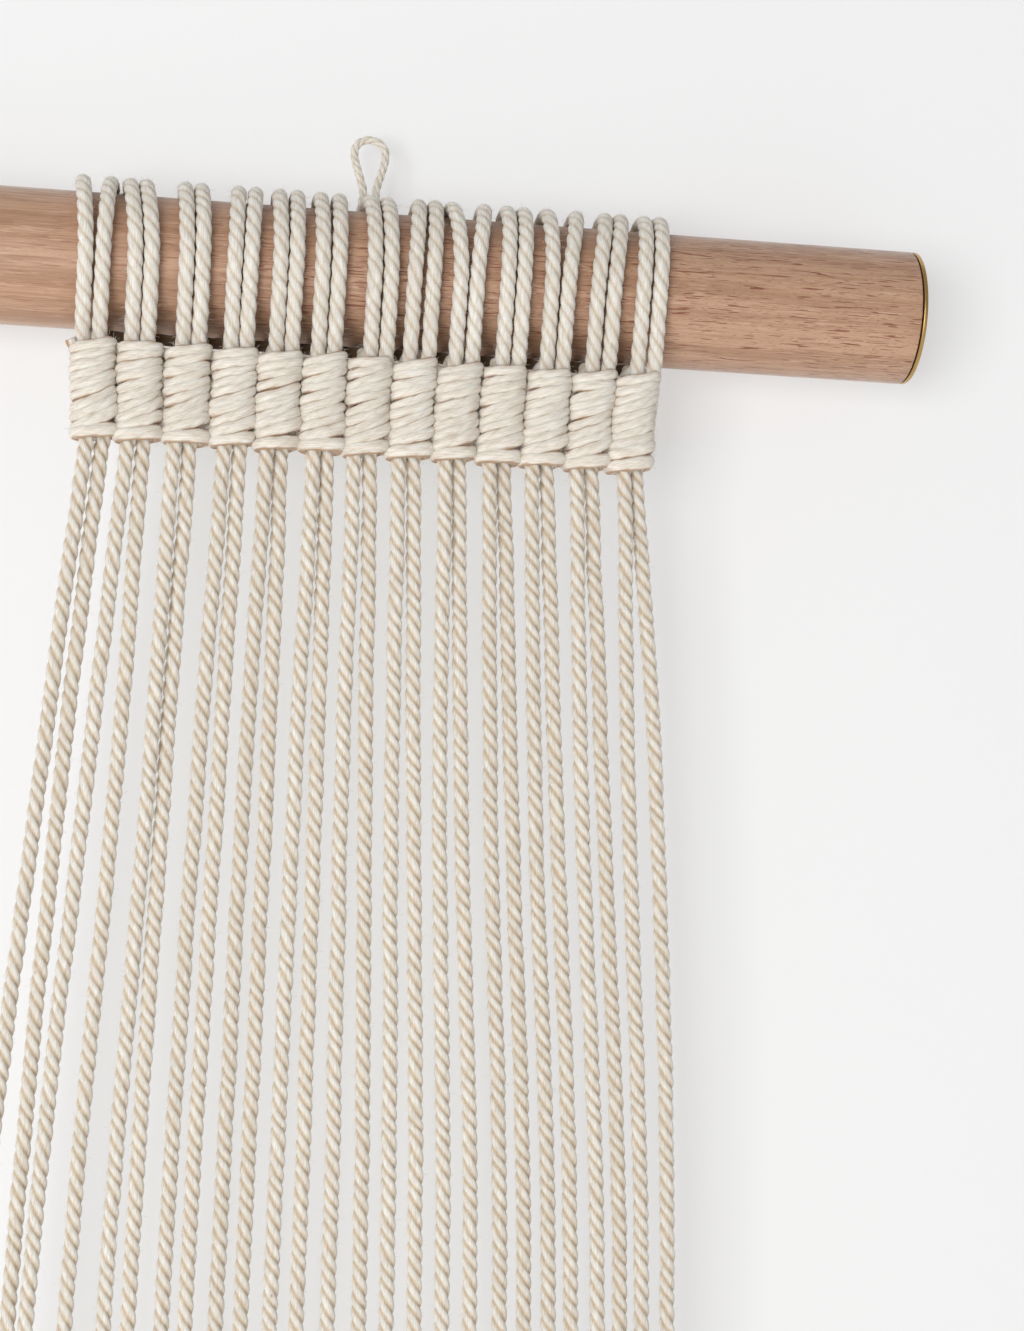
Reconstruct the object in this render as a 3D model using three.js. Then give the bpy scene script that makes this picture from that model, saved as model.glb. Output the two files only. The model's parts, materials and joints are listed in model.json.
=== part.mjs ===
// Tapestry wall hanging: a beech dowel with brass end discs, thirteen cords folded over it, a band
// of double half hitches under it, the twenty-six hanging ends and the string loop that holds it up.
// Units are millimetres. +Z is up, the front faces -Y, the wall is at +Y and X runs along the dowel.
// The origin is the point on the nail where the string loop rests.

import * as THREE from 'three';

// ---- Driving dimensions ------------------------------------------------------------------------

const GAP = 0.3; // clearance between pieces that touch

const DOWEL_DIAMETER = 32;
const DOWEL_LENGTH = 265;
const DOWEL_SIDES = 48;
const DOWEL_CHAMFER = 0.6;
const DISC_THICKNESS = 1;

const CORD_DIAMETER = 3.5; // three-ply cotton cord, folded over the dowel and hanging
const LOOP_SIDES = 6;
const HANGING_SIDES = 8;
const HANGING_STEPS = 12;

const STRING_DIAMETER = 1.8; // thin cotton string of the hanger
const STRING_SIDES = 8;

// The dowel's axis, from the nail.
const DOWEL_Y = -14;
const DOWEL_Z = -37;

// The band of hitches hangs a little in front of the dowel's axis.
const KNOT_Y = -27;
const KNOT_TOP = -59.2;
const KNOT_BOTTOM = -81.8;
const KNOT_WIDTH = 9.2;
const KNOT_DEPTH = 9.4;
const KNOT_SIDES = 10;
const HITCH_ROWS = 5;
const HITCH_GROOVE = 0.35; // how far the column narrows between two rows

// Heights of the points on a hanging cord's route, from its exit to its cut end.
const ROUTE_LEVELS = [KNOT_BOTTOM - GAP, -160, -280, -430, -582];
const PAIR_DEPTH = 1; // each pair's left cord lies this far in front of KNOT_Y, its right one behind

// The hanger string runs under the left strand of the middle column, behind the dowel's top.
const HITCH_COLUMN = 6;
const HITCH_ANGLE = 115; // degrees round the dowel from its front, over the top
const HITCH_SPAN = 18; // degrees over which the strand lifts over the string
const HITCH_X = 0.2;

// Places along the dowel for each column, from left to right. overDowel is where its two strands
// cross the dowel's top, intoKnot is where they enter the hitches, and top and bottom are the middle
// of the hitched column.
const COLUMNS = [
  { overDowel: [-66.8, -60.1], intoKnot: [-64.5, -60.6], top: -62.1, bottom: -60.6 },
  { overDowel: [-55.9, -52.2], intoKnot: [-53.3, -49.6], top: -51.3, bottom: -50.8 },
  { overDowel: [-43.1, -39.2], intoKnot: [-41.7, -38.0], top: -40.4, bottom: -40.2 },
  { overDowel: [-30.5, -26.6], intoKnot: [-30.8, -27.1], top: -29.7, bottom: -29.7 },
  { overDowel: [-21.1, -16.9], intoKnot: [-20.4, -16.7], top: -19.3, bottom: -19.5 },
  { overDowel: [-11.4, -7.0], intoKnot: [-10.7, -6.9], top: -9.0, bottom: -9.3 },
  { overDowel: [1.0, 5.0], intoKnot: [1.4, 5.2], top: 1.4, bottom: 1.0 },
  { overDowel: [12.0, 15.8], intoKnot: [10.6, 15.0], top: 11.8, bottom: 11.1 },
  { overDowel: [19.8, 27.6], intoKnot: [21.3, 25.2], top: 22.3, bottom: 21.4 },
  { overDowel: [33.1, 37.0], intoKnot: [32.3, 36.1], top: 33.0, bottom: 31.8 },
  { overDowel: [42.6, 49.8], intoKnot: [42.7, 46.6], top: 43.6, bottom: 42.2 },
  { overDowel: [56.8, 60.5], intoKnot: [53.6, 57.5], top: 54.1, bottom: 52.5 },
  { overDowel: [66.2, 69.9], intoKnot: [64.3, 68.3], top: 64.3, bottom: 62.3 },
];

// Each hanging cord's places along X at the first three route levels. Below those it hangs plumb.
const HANGING_CORDS = [
  [-62.3, -68.8, -76.7], [-58.9, -64.1, -69.4],
  [-53.1, -58.3, -65.3], [-49.5, -51.9, -56.9],
  [-42.7, -44.6, -48.3], [-39.1, -41.0, -43.1],
  [-31.2, -33.6, -35.6], [-27.6, -28.9, -30.4],
  [-21.4, -23.0, -23.6], [-18.1, -17.8, -18.0],
  [-10.8, -11.6, -11.6], [-7.5, -6.6, -5.5],
  [-1.3, -0.8, 1.4], [2.4, 4.7, 8.6],
  [9.0, 10.7, 14.7], [12.6, 15.9, 21.2],
  [19.8, 21.8, 27.4], [23.2, 27.1, 33.9],
  [30.3, 33.6, 40.5], [33.8, 38.8, 46.4],
  [40.1, 44.0, 51.8], [43.9, 49.2, 57.3],
  [50.7, 54.9, 63.1], [54.5, 60.3, 68.7],
  [62.0, 66.0, 73.3], [65.3, 73.0, 79.7],
];

// ---- Materials ---------------------------------------------------------------------------------

const material = (color, roughness, metalness = 0) =>
  new THREE.MeshStandardMaterial({ color, roughness, metalness });

const beech = () => material(0xc59d83, 0.6);
const brass = () => material(0xb8935a, 0.35, 1);
const cottonCord = () => material(0xe6dcc9, 0.92);
const knotCord = () => material(0xe9dfcc, 0.92);
const hangerString = () => material(0xdccfb8, 0.92);

// ---- Helpers -----------------------------------------------------------------------------------

const radians = THREE.MathUtils.degToRad;
const point = (x, y, z) => new THREE.Vector3(x, y, z);
const twoDigits = (index) => String(index + 1).padStart(2, '0');

function named(name, geometry, finish) {
  const mesh = new THREE.Mesh(geometry, finish);
  mesh.name = name;
  return mesh;
}

// A smooth curve that a tube follows with one section at each of its points.
class RouteCurve extends THREE.CatmullRomCurve3 {
  getPointAt(u, target) {
    return this.getPoint(u, target);
  }

  getTangentAt(u, target) {
    return this.getTangent(u, target);
  }
}

function roundSection(diameter) {
  const section = new THREE.Shape();
  section.absarc(0, 0, diameter / 2, 0, Math.PI * 2);
  return section;
}

// A three.js circle is cut into two sides for each curve segment.
function tube(path, steps, diameter, sides) {
  return new THREE.ExtrudeGeometry(roundSection(diameter), {
    steps,
    curveSegments: sides / 2,
    extrudePath: path,
  });
}

// ---- Dowel and its end discs -------------------------------------------------------------------

function roundBar(length, chamfer) {
  const radius = DOWEL_DIAMETER / 2;
  const half = length / 2;
  const profile = [
    new THREE.Vector2(0, -half),
    new THREE.Vector2(radius - chamfer, -half),
    new THREE.Vector2(radius, -half + chamfer),
    new THREE.Vector2(radius, half - chamfer),
    new THREE.Vector2(radius - chamfer, half),
    new THREE.Vector2(0, half),
  ];
  return new THREE.LatheGeometry(profile, DOWEL_SIDES).rotateZ(-Math.PI / 2);
}

function dowelPieces() {
  const group = new THREE.Group();
  group.add(named('dowel', roundBar(DOWEL_LENGTH, DOWEL_CHAMFER), beech()));
  const discX = DOWEL_LENGTH / 2 + GAP + DISC_THICKNESS / 2;
  for (const [name, side] of [['end_disc_left', -1], ['end_disc_right', 1]]) {
    const disc = named(name, roundBar(DISC_THICKNESS, DISC_THICKNESS / 5), brass());
    disc.position.x = side * discX;
    group.add(disc);
  }
  group.position.set(0, DOWEL_Y, DOWEL_Z);
  return group;
}

// ---- Cords over the dowel ----------------------------------------------------------------------

// The angle round the dowel is 0 at its front, 90 on top and 180 at its back.
function aroundDowel(x, angle, radius) {
  const turn = radians(angle);
  return point(x, DOWEL_Y - radius * Math.cos(turn), DOWEL_Z + radius * Math.sin(turn));
}

const STRAND_RADIUS = DOWEL_DIAMETER / 2 + GAP + CORD_DIAMETER / 2;
const STRING_RADIUS = DOWEL_DIAMETER / 2 + GAP + STRING_DIAMETER / 2;
const HITCH_LIFT = STRING_DIAMETER + GAP;
const STRAND_START = -11; // where a strand meets the dowel's front
const STRAND_FINISH = 277; // where its fold leaves the dowel, underneath
const STRAND_SECTIONS = 17;
const STRAND_END_Z = KNOT_TOP + 0.8;
const FOLD_HALF_WIDTH = 2.3;
const FOLD_TIP = { y: DOWEL_Y - 8.6, z: DOWEL_Z - 19.5 };

// How far a strand lifts off the dowel over the hanger string.
const hitchLift = (angle) => HITCH_LIFT * Math.exp(-(((angle - HITCH_ANGLE) / HITCH_SPAN) ** 2));

// X of a strand at an angle: from the hitches up to the dowel's top and down behind to the fold.
function strandX(angle, low, high, fold) {
  const { smoothstep, lerp } = THREE.MathUtils;
  const front = lerp(low, high, smoothstep(angle, STRAND_START, 90));
  return lerp(front, fold, smoothstep(angle, 130, STRAND_FINISH));
}

function strandPoints(column, side, index) {
  const low = column.intoKnot[side];
  const fold = column.top + (side === 0 ? -FOLD_HALF_WIDTH : FOLD_HALF_WIDTH);
  const holdsString = index === HITCH_COLUMN;
  const points = [point(low, KNOT_Y, STRAND_END_Z)];
  for (let i = 0; i < STRAND_SECTIONS; i++) {
    const angle = STRAND_START + ((STRAND_FINISH - STRAND_START) * i) / (STRAND_SECTIONS - 1);
    const lift = holdsString ? hitchLift(angle) : 0;
    const spread = holdsString ? (lift / HITCH_LIFT) * (side === 0 ? HITCH_X - 1 : 1.5) : 0;
    const x = strandX(angle, low, column.overDowel[side], fold) + spread;
    points.push(aroundDowel(x, angle, STRAND_RADIUS + (side === 0 ? lift : 0)));
  }
  return points;
}

function cordLoop(column, index) {
  const left = strandPoints(column, 0, index);
  const right = strandPoints(column, 1, index).reverse();
  const nearTip = FOLD_HALF_WIDTH * 0.75;
  const tip = [
    point(column.top - nearTip, FOLD_TIP.y + 1.7, FOLD_TIP.z),
    point(column.top, FOLD_TIP.y, FOLD_TIP.z),
    point(column.top + nearTip, FOLD_TIP.y + 1.7, FOLD_TIP.z),
  ];
  const points = [...left, ...tip, ...right];
  const path = new RouteCurve(points, false, 'centripetal');
  return tube(path, points.length - 1, CORD_DIAMETER, LOOP_SIDES);
}

// ---- Hitched columns ---------------------------------------------------------------------------

function hitchedColumn(column) {
  const height = KNOT_TOP - KNOT_BOTTOM;
  const half = KNOT_WIDTH / 2;
  const profile = [new THREE.Vector2(0, 0), new THREE.Vector2(half - HITCH_GROOVE, 0)];
  for (let row = 0; row < HITCH_ROWS; row++) {
    profile.push(new THREE.Vector2(half, (height * (row + 0.5)) / HITCH_ROWS));
    profile.push(new THREE.Vector2(half - HITCH_GROOVE, (height * (row + 1)) / HITCH_ROWS));
  }
  profile.push(new THREE.Vector2(0, height));
  const geometry = new THREE.LatheGeometry(profile, KNOT_SIDES);
  geometry.rotateX(Math.PI / 2);
  geometry.scale(1, KNOT_DEPTH / KNOT_WIDTH, 1);
  const lean = new THREE.Matrix4().set(
    1, 0, (column.top - column.bottom) / height, column.bottom,
    0, 1, 0, KNOT_Y,
    0, 0, 1, KNOT_BOTTOM,
    0, 0, 0, 1,
  );
  return geometry.applyMatrix4(lean);
}

// ---- Hanging cords -----------------------------------------------------------------------------

function hangingCord(places, index) {
  const y = KNOT_Y + (index % 2 === 0 ? -PAIR_DEPTH : PAIR_DEPTH);
  const low = places[places.length - 1];
  const route = ROUTE_LEVELS.map((z, level) => point(places[level] ?? low, y, z));
  const path = new THREE.CatmullRomCurve3(route, false, 'centripetal');
  return tube(path, HANGING_STEPS, CORD_DIAMETER, HANGING_SIDES);
}

// ---- Hanger loop -------------------------------------------------------------------------------

const EYE_HALF_WIDTH = 3.4;
const EYE_SECTIONS = 8;

// The loop lies in the plane of its bar under the strand and the nail. rise runs from bar to nail.
function loopPoint(x, rise) {
  const bar = aroundDowel(0, HITCH_ANGLE, STRING_RADIUS);
  const nail = point(0, 0, STRING_DIAMETER / 2);
  return bar.lerp(nail, rise).setX(x);
}

function hangerLoop() {
  const length = loopPoint(0, 0).distanceTo(loopPoint(0, 1));
  const eyeRise = 1 - EYE_HALF_WIDTH / length;
  const leg = [
    [0.15, 0], [1.8, 0], [2.7, 0.035], [3.05, 0.1], [3.05, 0.2], [2.5, 0.29], [1.5, 0.38],
    [1.05, 0.46], [1.5, 0.55], [2.6, 0.66], [3.15, 0.73], [3.38, 0.8],
  ];
  const lean = (rise) => HITCH_X * (1 - rise);
  const right = leg.map(([x, rise]) => loopPoint(lean(rise) + x, rise));
  const left = leg.map(([x, rise]) => loopPoint(lean(rise) - x, rise)).reverse();
  const eye = [];
  for (let i = 0; i <= EYE_SECTIONS; i++) {
    const turn = (Math.PI * i) / EYE_SECTIONS;
    const rise = eyeRise + (EYE_HALF_WIDTH / length) * Math.sin(turn);
    eye.push(loopPoint(EYE_HALF_WIDTH * Math.cos(turn), rise));
  }
  const points = [...right, ...eye, ...left];
  const path = new RouteCurve(points, false, 'centripetal');
  return tube(path, points.length - 1, STRING_DIAMETER, STRING_SIDES);
}

// ---- Assembly ----------------------------------------------------------------------------------

const wallHanging = new THREE.Group();
wallHanging.add(dowelPieces());
wallHanging.add(named('hanger_loop', hangerLoop(), hangerString()));
COLUMNS.forEach((column, index) => {
  wallHanging.add(named(`cord_loop_${twoDigits(index)}`, cordLoop(column, index), cottonCord()));
  wallHanging.add(named(`knot_${twoDigits(index)}`, hitchedColumn(column), knotCord()));
});
HANGING_CORDS.forEach((places, index) => {
  const name = `hanging_cord_${twoDigits(index)}`;
  wallHanging.add(named(name, hangingCord(places, index), cottonCord()));
});

export default wallHanging;
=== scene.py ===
"""Looks of a macrame wall hanging: a beech dowel, knotted cotton cords and a long straight fringe.

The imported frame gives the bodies, the nodes and their places. This script makes the twisted cords,
the band of hitches, the wood, the brass discs and the studio round them. Sizes are in metres. +Z is
up, the front faces -Y and X runs along the dowel. The origin is where the string loop rests on its
nail.
"""

from __future__ import annotations

import json
import logging
import math
import random
from dataclasses import dataclass, field
from enum import Enum
from typing import Any, Sequence

import bmesh
import bpy
from mathutils import Matrix, Vector

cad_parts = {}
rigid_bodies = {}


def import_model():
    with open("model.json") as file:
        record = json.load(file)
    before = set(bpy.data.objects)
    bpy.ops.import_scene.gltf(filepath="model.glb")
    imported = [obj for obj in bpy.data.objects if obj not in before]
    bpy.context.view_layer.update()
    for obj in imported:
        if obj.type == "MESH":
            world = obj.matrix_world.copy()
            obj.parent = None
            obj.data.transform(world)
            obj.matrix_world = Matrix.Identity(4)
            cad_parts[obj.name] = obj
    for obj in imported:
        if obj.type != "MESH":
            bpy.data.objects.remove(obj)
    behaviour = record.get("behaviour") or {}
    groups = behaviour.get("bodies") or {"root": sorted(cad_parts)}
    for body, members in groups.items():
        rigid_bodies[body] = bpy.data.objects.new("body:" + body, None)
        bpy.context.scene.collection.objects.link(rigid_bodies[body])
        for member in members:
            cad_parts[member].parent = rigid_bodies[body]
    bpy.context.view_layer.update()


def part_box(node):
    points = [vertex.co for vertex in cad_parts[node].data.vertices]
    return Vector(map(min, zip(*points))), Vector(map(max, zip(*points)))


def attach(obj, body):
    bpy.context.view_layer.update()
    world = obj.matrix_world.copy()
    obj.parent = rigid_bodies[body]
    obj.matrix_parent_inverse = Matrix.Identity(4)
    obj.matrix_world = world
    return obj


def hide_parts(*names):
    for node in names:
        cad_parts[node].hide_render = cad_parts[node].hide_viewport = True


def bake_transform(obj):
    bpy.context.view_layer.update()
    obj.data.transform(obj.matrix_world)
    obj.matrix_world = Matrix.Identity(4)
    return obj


log = logging.getLogger("wall_hanging")

MM = 0.001
SEED = 2607


# ---- Driving sizes and routes ------------------------------------------------------------------

DOWEL_Y = -14 * MM
DOWEL_Z = -37 * MM
DOWEL_RADIUS = 16 * MM
GAP = 0.3 * MM

KNOT_Y = -27 * MM
KNOT_TOP = -59.2 * MM
KNOT_BOTTOM = -81.8 * MM

# Heights of the points on a hanging cord's route, from its exit to its cut end.
ROUTE_LEVELS = [-0.0821, -0.160, -0.280, -0.430, -0.582]
PAIR_DEPTH = 1 * MM

# Each hanging cord's places along X at the first three levels. Below those it hangs plumb.
HANGING_CORDS = [
    (-0.0623, -0.0688, -0.0767), (-0.0589, -0.0641, -0.0694),
    (-0.0531, -0.0583, -0.0653), (-0.0495, -0.0519, -0.0569),
    (-0.0427, -0.0446, -0.0483), (-0.0391, -0.0410, -0.0431),
    (-0.0312, -0.0336, -0.0356), (-0.0276, -0.0289, -0.0304),
    (-0.0214, -0.0230, -0.0236), (-0.0181, -0.0178, -0.0180),
    (-0.0108, -0.0116, -0.0116), (-0.0075, -0.0066, -0.0055),
    (-0.0013, -0.0008, 0.0014), (0.0024, 0.0047, 0.0086),
    (0.0090, 0.0107, 0.0147), (0.0126, 0.0159, 0.0212),
    (0.0198, 0.0218, 0.0274), (0.0232, 0.0271, 0.0339),
    (0.0303, 0.0336, 0.0405), (0.0338, 0.0388, 0.0464),
    (0.0401, 0.0440, 0.0518), (0.0439, 0.0492, 0.0573),
    (0.0507, 0.0549, 0.0631), (0.0545, 0.0603, 0.0687),
    (0.0620, 0.0660, 0.0733), (0.0653, 0.0730, 0.0797),
]


@dataclass(frozen=True)
class Column:
    """Places along X of one column, in millimetres: two strands over the dowel, the same two where
    they enter the hitches, and the middle of the hitched column at its top and bottom."""

    over_dowel: tuple[float, float]
    into_knot: tuple[float, float]
    top: float
    bottom: float


COLUMNS = [
    Column((-66.8, -60.1), (-64.5, -60.6), -62.1, -60.6),
    Column((-55.9, -52.2), (-53.3, -49.6), -51.3, -50.8),
    Column((-43.1, -39.2), (-41.7, -38.0), -40.4, -40.2),
    Column((-30.5, -26.6), (-30.8, -27.1), -29.7, -29.7),
    Column((-21.1, -16.9), (-20.4, -16.7), -19.3, -19.5),
    Column((-11.4, -7.0), (-10.7, -6.9), -9.0, -9.3),
    Column((1.0, 5.0), (1.4, 5.2), 1.4, 1.0),
    Column((12.0, 15.8), (10.6, 15.0), 11.8, 11.1),
    Column((19.8, 27.6), (21.3, 25.2), 22.3, 21.4),
    Column((33.1, 37.0), (32.3, 36.1), 33.0, 31.8),
    Column((42.6, 49.8), (42.7, 46.6), 43.6, 42.2),
    Column((56.8, 60.5), (53.6, 57.5), 54.1, 52.5),
    Column((66.2, 69.9), (64.3, 68.3), 64.3, 62.3),
]


class Lay(Enum):
    """Which way a cord's plies turn. The value is the sign of the turn along the cord."""

    S = -1
    Z = 1


class Attribute(Enum):
    """Names of the point attributes that the cord trees store for the materials."""

    GROOVE = "groove"
    FIBRE = "fibre"
    TONE = "tone"


@dataclass(frozen=True)
class CordMake:
    """How a twisted cord is made.

    Attributes:
        diameter: outer diameter.
        lay_length: length in which a ply makes one full turn.
        lay: which way the plies turn.
        plies: how many plies are twisted together.
        groove: depth of the groove between two plies, as a share of the radius.
        sides: points round the section.
        step: length between two sections.
        waver: how unsteadily the plies turn, in radians.
    """

    diameter: float
    lay_length: float
    lay: Lay = Lay.S
    plies: int = 3
    groove: float = 0.3
    sides: int = 24
    step: float = 1.0 * MM
    waver: float = 2.0


@dataclass(frozen=True)
class PressedMake:
    """How the working cord is pressed in the hitches.

    Attributes:
        height: size along the column.
        depth: size out of the column.
        lay_length: length in which a ply makes one full turn.
        groove: depth of the grooves between the plies.
        waver: how unsteadily the plies turn, in radians.
    """

    height: float
    depth: float
    lay_length: float
    groove: float
    lay: Lay = Lay.S
    plies: int = 3
    sides: int = 24
    step: float = 0.45 * MM
    waver: float = 4.0


COTTON_CORD = CordMake(diameter=3.7 * MM, lay_length=10.75 * MM)
TAUT_CORD = CordMake(diameter=3.7 * MM, lay_length=11.5 * MM, groove=0.18)
HANGER_STRING = CordMake(diameter=2.1 * MM, lay_length=7.5 * MM, sides=18, step=0.4 * MM)
WORKING_CORD = PressedMake(height=2.75 * MM, depth=2.5 * MM, lay_length=15 * MM, groove=0.24 * MM)


# ---- Small helpers -----------------------------------------------------------------------------


def two_digits(index: int) -> str:
    """Returns the number of a repeated piece as it stands in its name, counted from one."""
    return f"{index + 1:02d}"


def smoothstep(value: float, low: float, high: float) -> float:
    """Returns 0 below low, 1 above high and a smooth rise between them."""
    share = min(max((value - low) / (high - low), 0.0), 1.0)
    return share * share * (3.0 - 2.0 * share)


def lerp(a: float, b: float, share: float) -> float:
    """Returns the value that lies that share of the way from a to b."""
    return a + (b - a) * share


def smooth_route(points: Sequence[Vector], per_span: int) -> list[Vector]:
    """Passes a Catmull-Rom curve through a route's points.

    Args:
        points: the route's points.
        per_span: how many points to make for each span between two of them.

    Returns:
        Points along the smooth curve, both ends included.
    """
    first = points[0] * 2 - points[1]
    last = points[-1] * 2 - points[-2]
    padded = [first, *points, last]
    curve = []
    for index in range(len(points) - 1):
        a, b, c, d = padded[index : index + 4]
        for sample in range(per_span):
            t = sample / per_span
            even = 2 * b + (2 * a - 5 * b + 4 * c - d) * t * t
            odd = (c - a) * t + (3 * b - a - 3 * c + d) * t * t * t
            curve.append((even + odd) * 0.5)
    curve.append(points[-1].copy())
    return curve


def add_object(name: str, data: bpy.types.ID) -> bpy.types.Object:
    """Puts new data in the scene as an object at the origin, unturned and unscaled.

    Args:
        name: the object's name.
        data: its mesh, curve, camera or light.

    Returns:
        The object.
    """
    obj = bpy.data.objects.new(name, data)
    bpy.context.scene.collection.objects.link(obj)
    return obj


def join(pieces: list[bpy.types.Object]) -> bpy.types.Object:
    """Joins mesh objects into the first one, and keeps its name and materials.

    Args:
        pieces: the objects. All but the first are removed.

    Returns:
        The first object.
    """
    whole = bmesh.new()
    for piece in pieces:
        whole.from_mesh(piece.data)
    whole.to_mesh(pieces[0].data)
    whole.free()
    for piece in pieces[1:]:
        mesh = piece.data
        bpy.data.objects.remove(piece)
        bpy.data.meshes.remove(mesh)
    return pieces[0]


def curve_object(
    name: str, points: Sequence[Vector], sizes: Sequence[float] = ()
) -> bpy.types.Object:
    """Makes a curve object of one open spline through the points.

    Args:
        name: the object's name.
        points: the spline's points, in metres.
        sizes: how thick the cord is at each point, as a share of its usual thickness.

    Returns:
        The curve object.
    """
    data = bpy.data.curves.new(name, "CURVE")
    data.dimensions = "3D"
    spline = data.splines.new("POLY")
    spline.points.add(len(points) - 1)
    for target, source in zip(spline.points, points):
        target.co = (*source, 1.0)
    for target, size in zip(spline.points, sizes):
        target.radius = size
    return add_object(name, data)


# ---- Node trees --------------------------------------------------------------------------------


class Graph:
    """Adds nodes to a node tree and wires them, for shaders and Geometry Nodes alike."""

    def __init__(self, tree: bpy.types.NodeTree) -> None:
        """Keeps the tree that the nodes go into."""
        self.tree = tree

    def node(self, kind: str, inputs: dict[Any, Any] | None = None, **settings: Any) -> Any:
        """Adds one node.

        Args:
            kind: the node's type.
            inputs: socket name or index to a constant, or to the socket that feeds it.
            settings: properties of the node itself.

        Returns:
            The new node.
        """
        node = self.tree.nodes.new(kind)
        for name, value in settings.items():
            setattr(node, name, value)
        self.fill(node, inputs or {})
        return node

    def fill(self, node: Any, inputs: dict[Any, Any]) -> None:
        """Feeds several of a node's sockets, given by name or index."""
        for name, value in inputs.items():
            self.feed(node.inputs[name], value)

    def feed(self, socket: Any, value: Any) -> None:
        """Sets or links one input socket.

        Args:
            socket: the socket.
            value: a constant, or the socket that feeds it.
        """
        if isinstance(value, bpy.types.NodeSocket):
            self.tree.links.new(value, socket)
        else:
            socket.default_value = value

    def math(self, operation: str, *values: Any) -> Any:
        """Adds a Math node and returns its result."""
        kind = "ShaderNodeMath"
        return self.node(kind, dict(enumerate(values)), operation=operation).outputs[0]

    def vector(self, operation: str, *values: Any) -> Any:
        """Adds a Vector Math node and returns its vector."""
        kind = "ShaderNodeVectorMath"
        return self.node(kind, dict(enumerate(values)), operation=operation).outputs[0]

    def scale(self, vector: Any, factor: Any) -> Any:
        """Returns a vector times a number."""
        inputs = {"Vector": vector, "Scale": factor}
        return self.node("ShaderNodeVectorMath", inputs, operation="SCALE").outputs[0]

    def xyz(self, x: Any, y: Any, z: Any) -> Any:
        """Returns a vector made of three numbers."""
        return self.node("ShaderNodeCombineXYZ", {0: x, 1: y, 2: z}).outputs[0]

    def remap(self, value: Any, low: float, high: float, to_low: float, to_high: float) -> Any:
        """Carries a value smoothly from one range to another, and clamps it.

        Args:
            value: the value's socket.
            low: start of the first range.
            high: end of the first range.
            to_low: start of the second range.
            to_high: end of the second range.

        Returns:
            The result's socket.
        """
        inputs = {0: value, 1: low, 2: high, 3: to_low, 4: to_high}
        kind = "ShaderNodeMapRange"
        return self.node(kind, inputs, interpolation_type="SMOOTHSTEP").outputs[0]

    def noise(self, vector: Any, scale: float, detail: float = 2.0, rough: float = 0.5) -> Any:
        """Returns a noise texture's factor."""
        inputs = {"Vector": vector, "Scale": scale, "Detail": detail, "Roughness": rough}
        return self.node("ShaderNodeTexNoise", inputs).outputs[0]

    def blend(self, factor: Any, a: Any, b: Any, mode: str = "MIX") -> Any:
        """Mixes two colours.

        Args:
            factor: how much of the second colour, from 0 to 1.
            a: the first colour.
            b: the second colour.
            mode: how they are mixed.

        Returns:
            The colour's socket.
        """
        mix = self.node("ShaderNodeMix", data_type="RGBA", blend_type=mode)
        for name, value in (("Factor_Float", factor), ("A_Color", a), ("B_Color", b)):
            socket = next(s for s in mix.inputs if s.identifier == name)
            self.feed(socket, value)
        return next(s for s in mix.outputs if s.identifier == "Result_Color")


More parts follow.
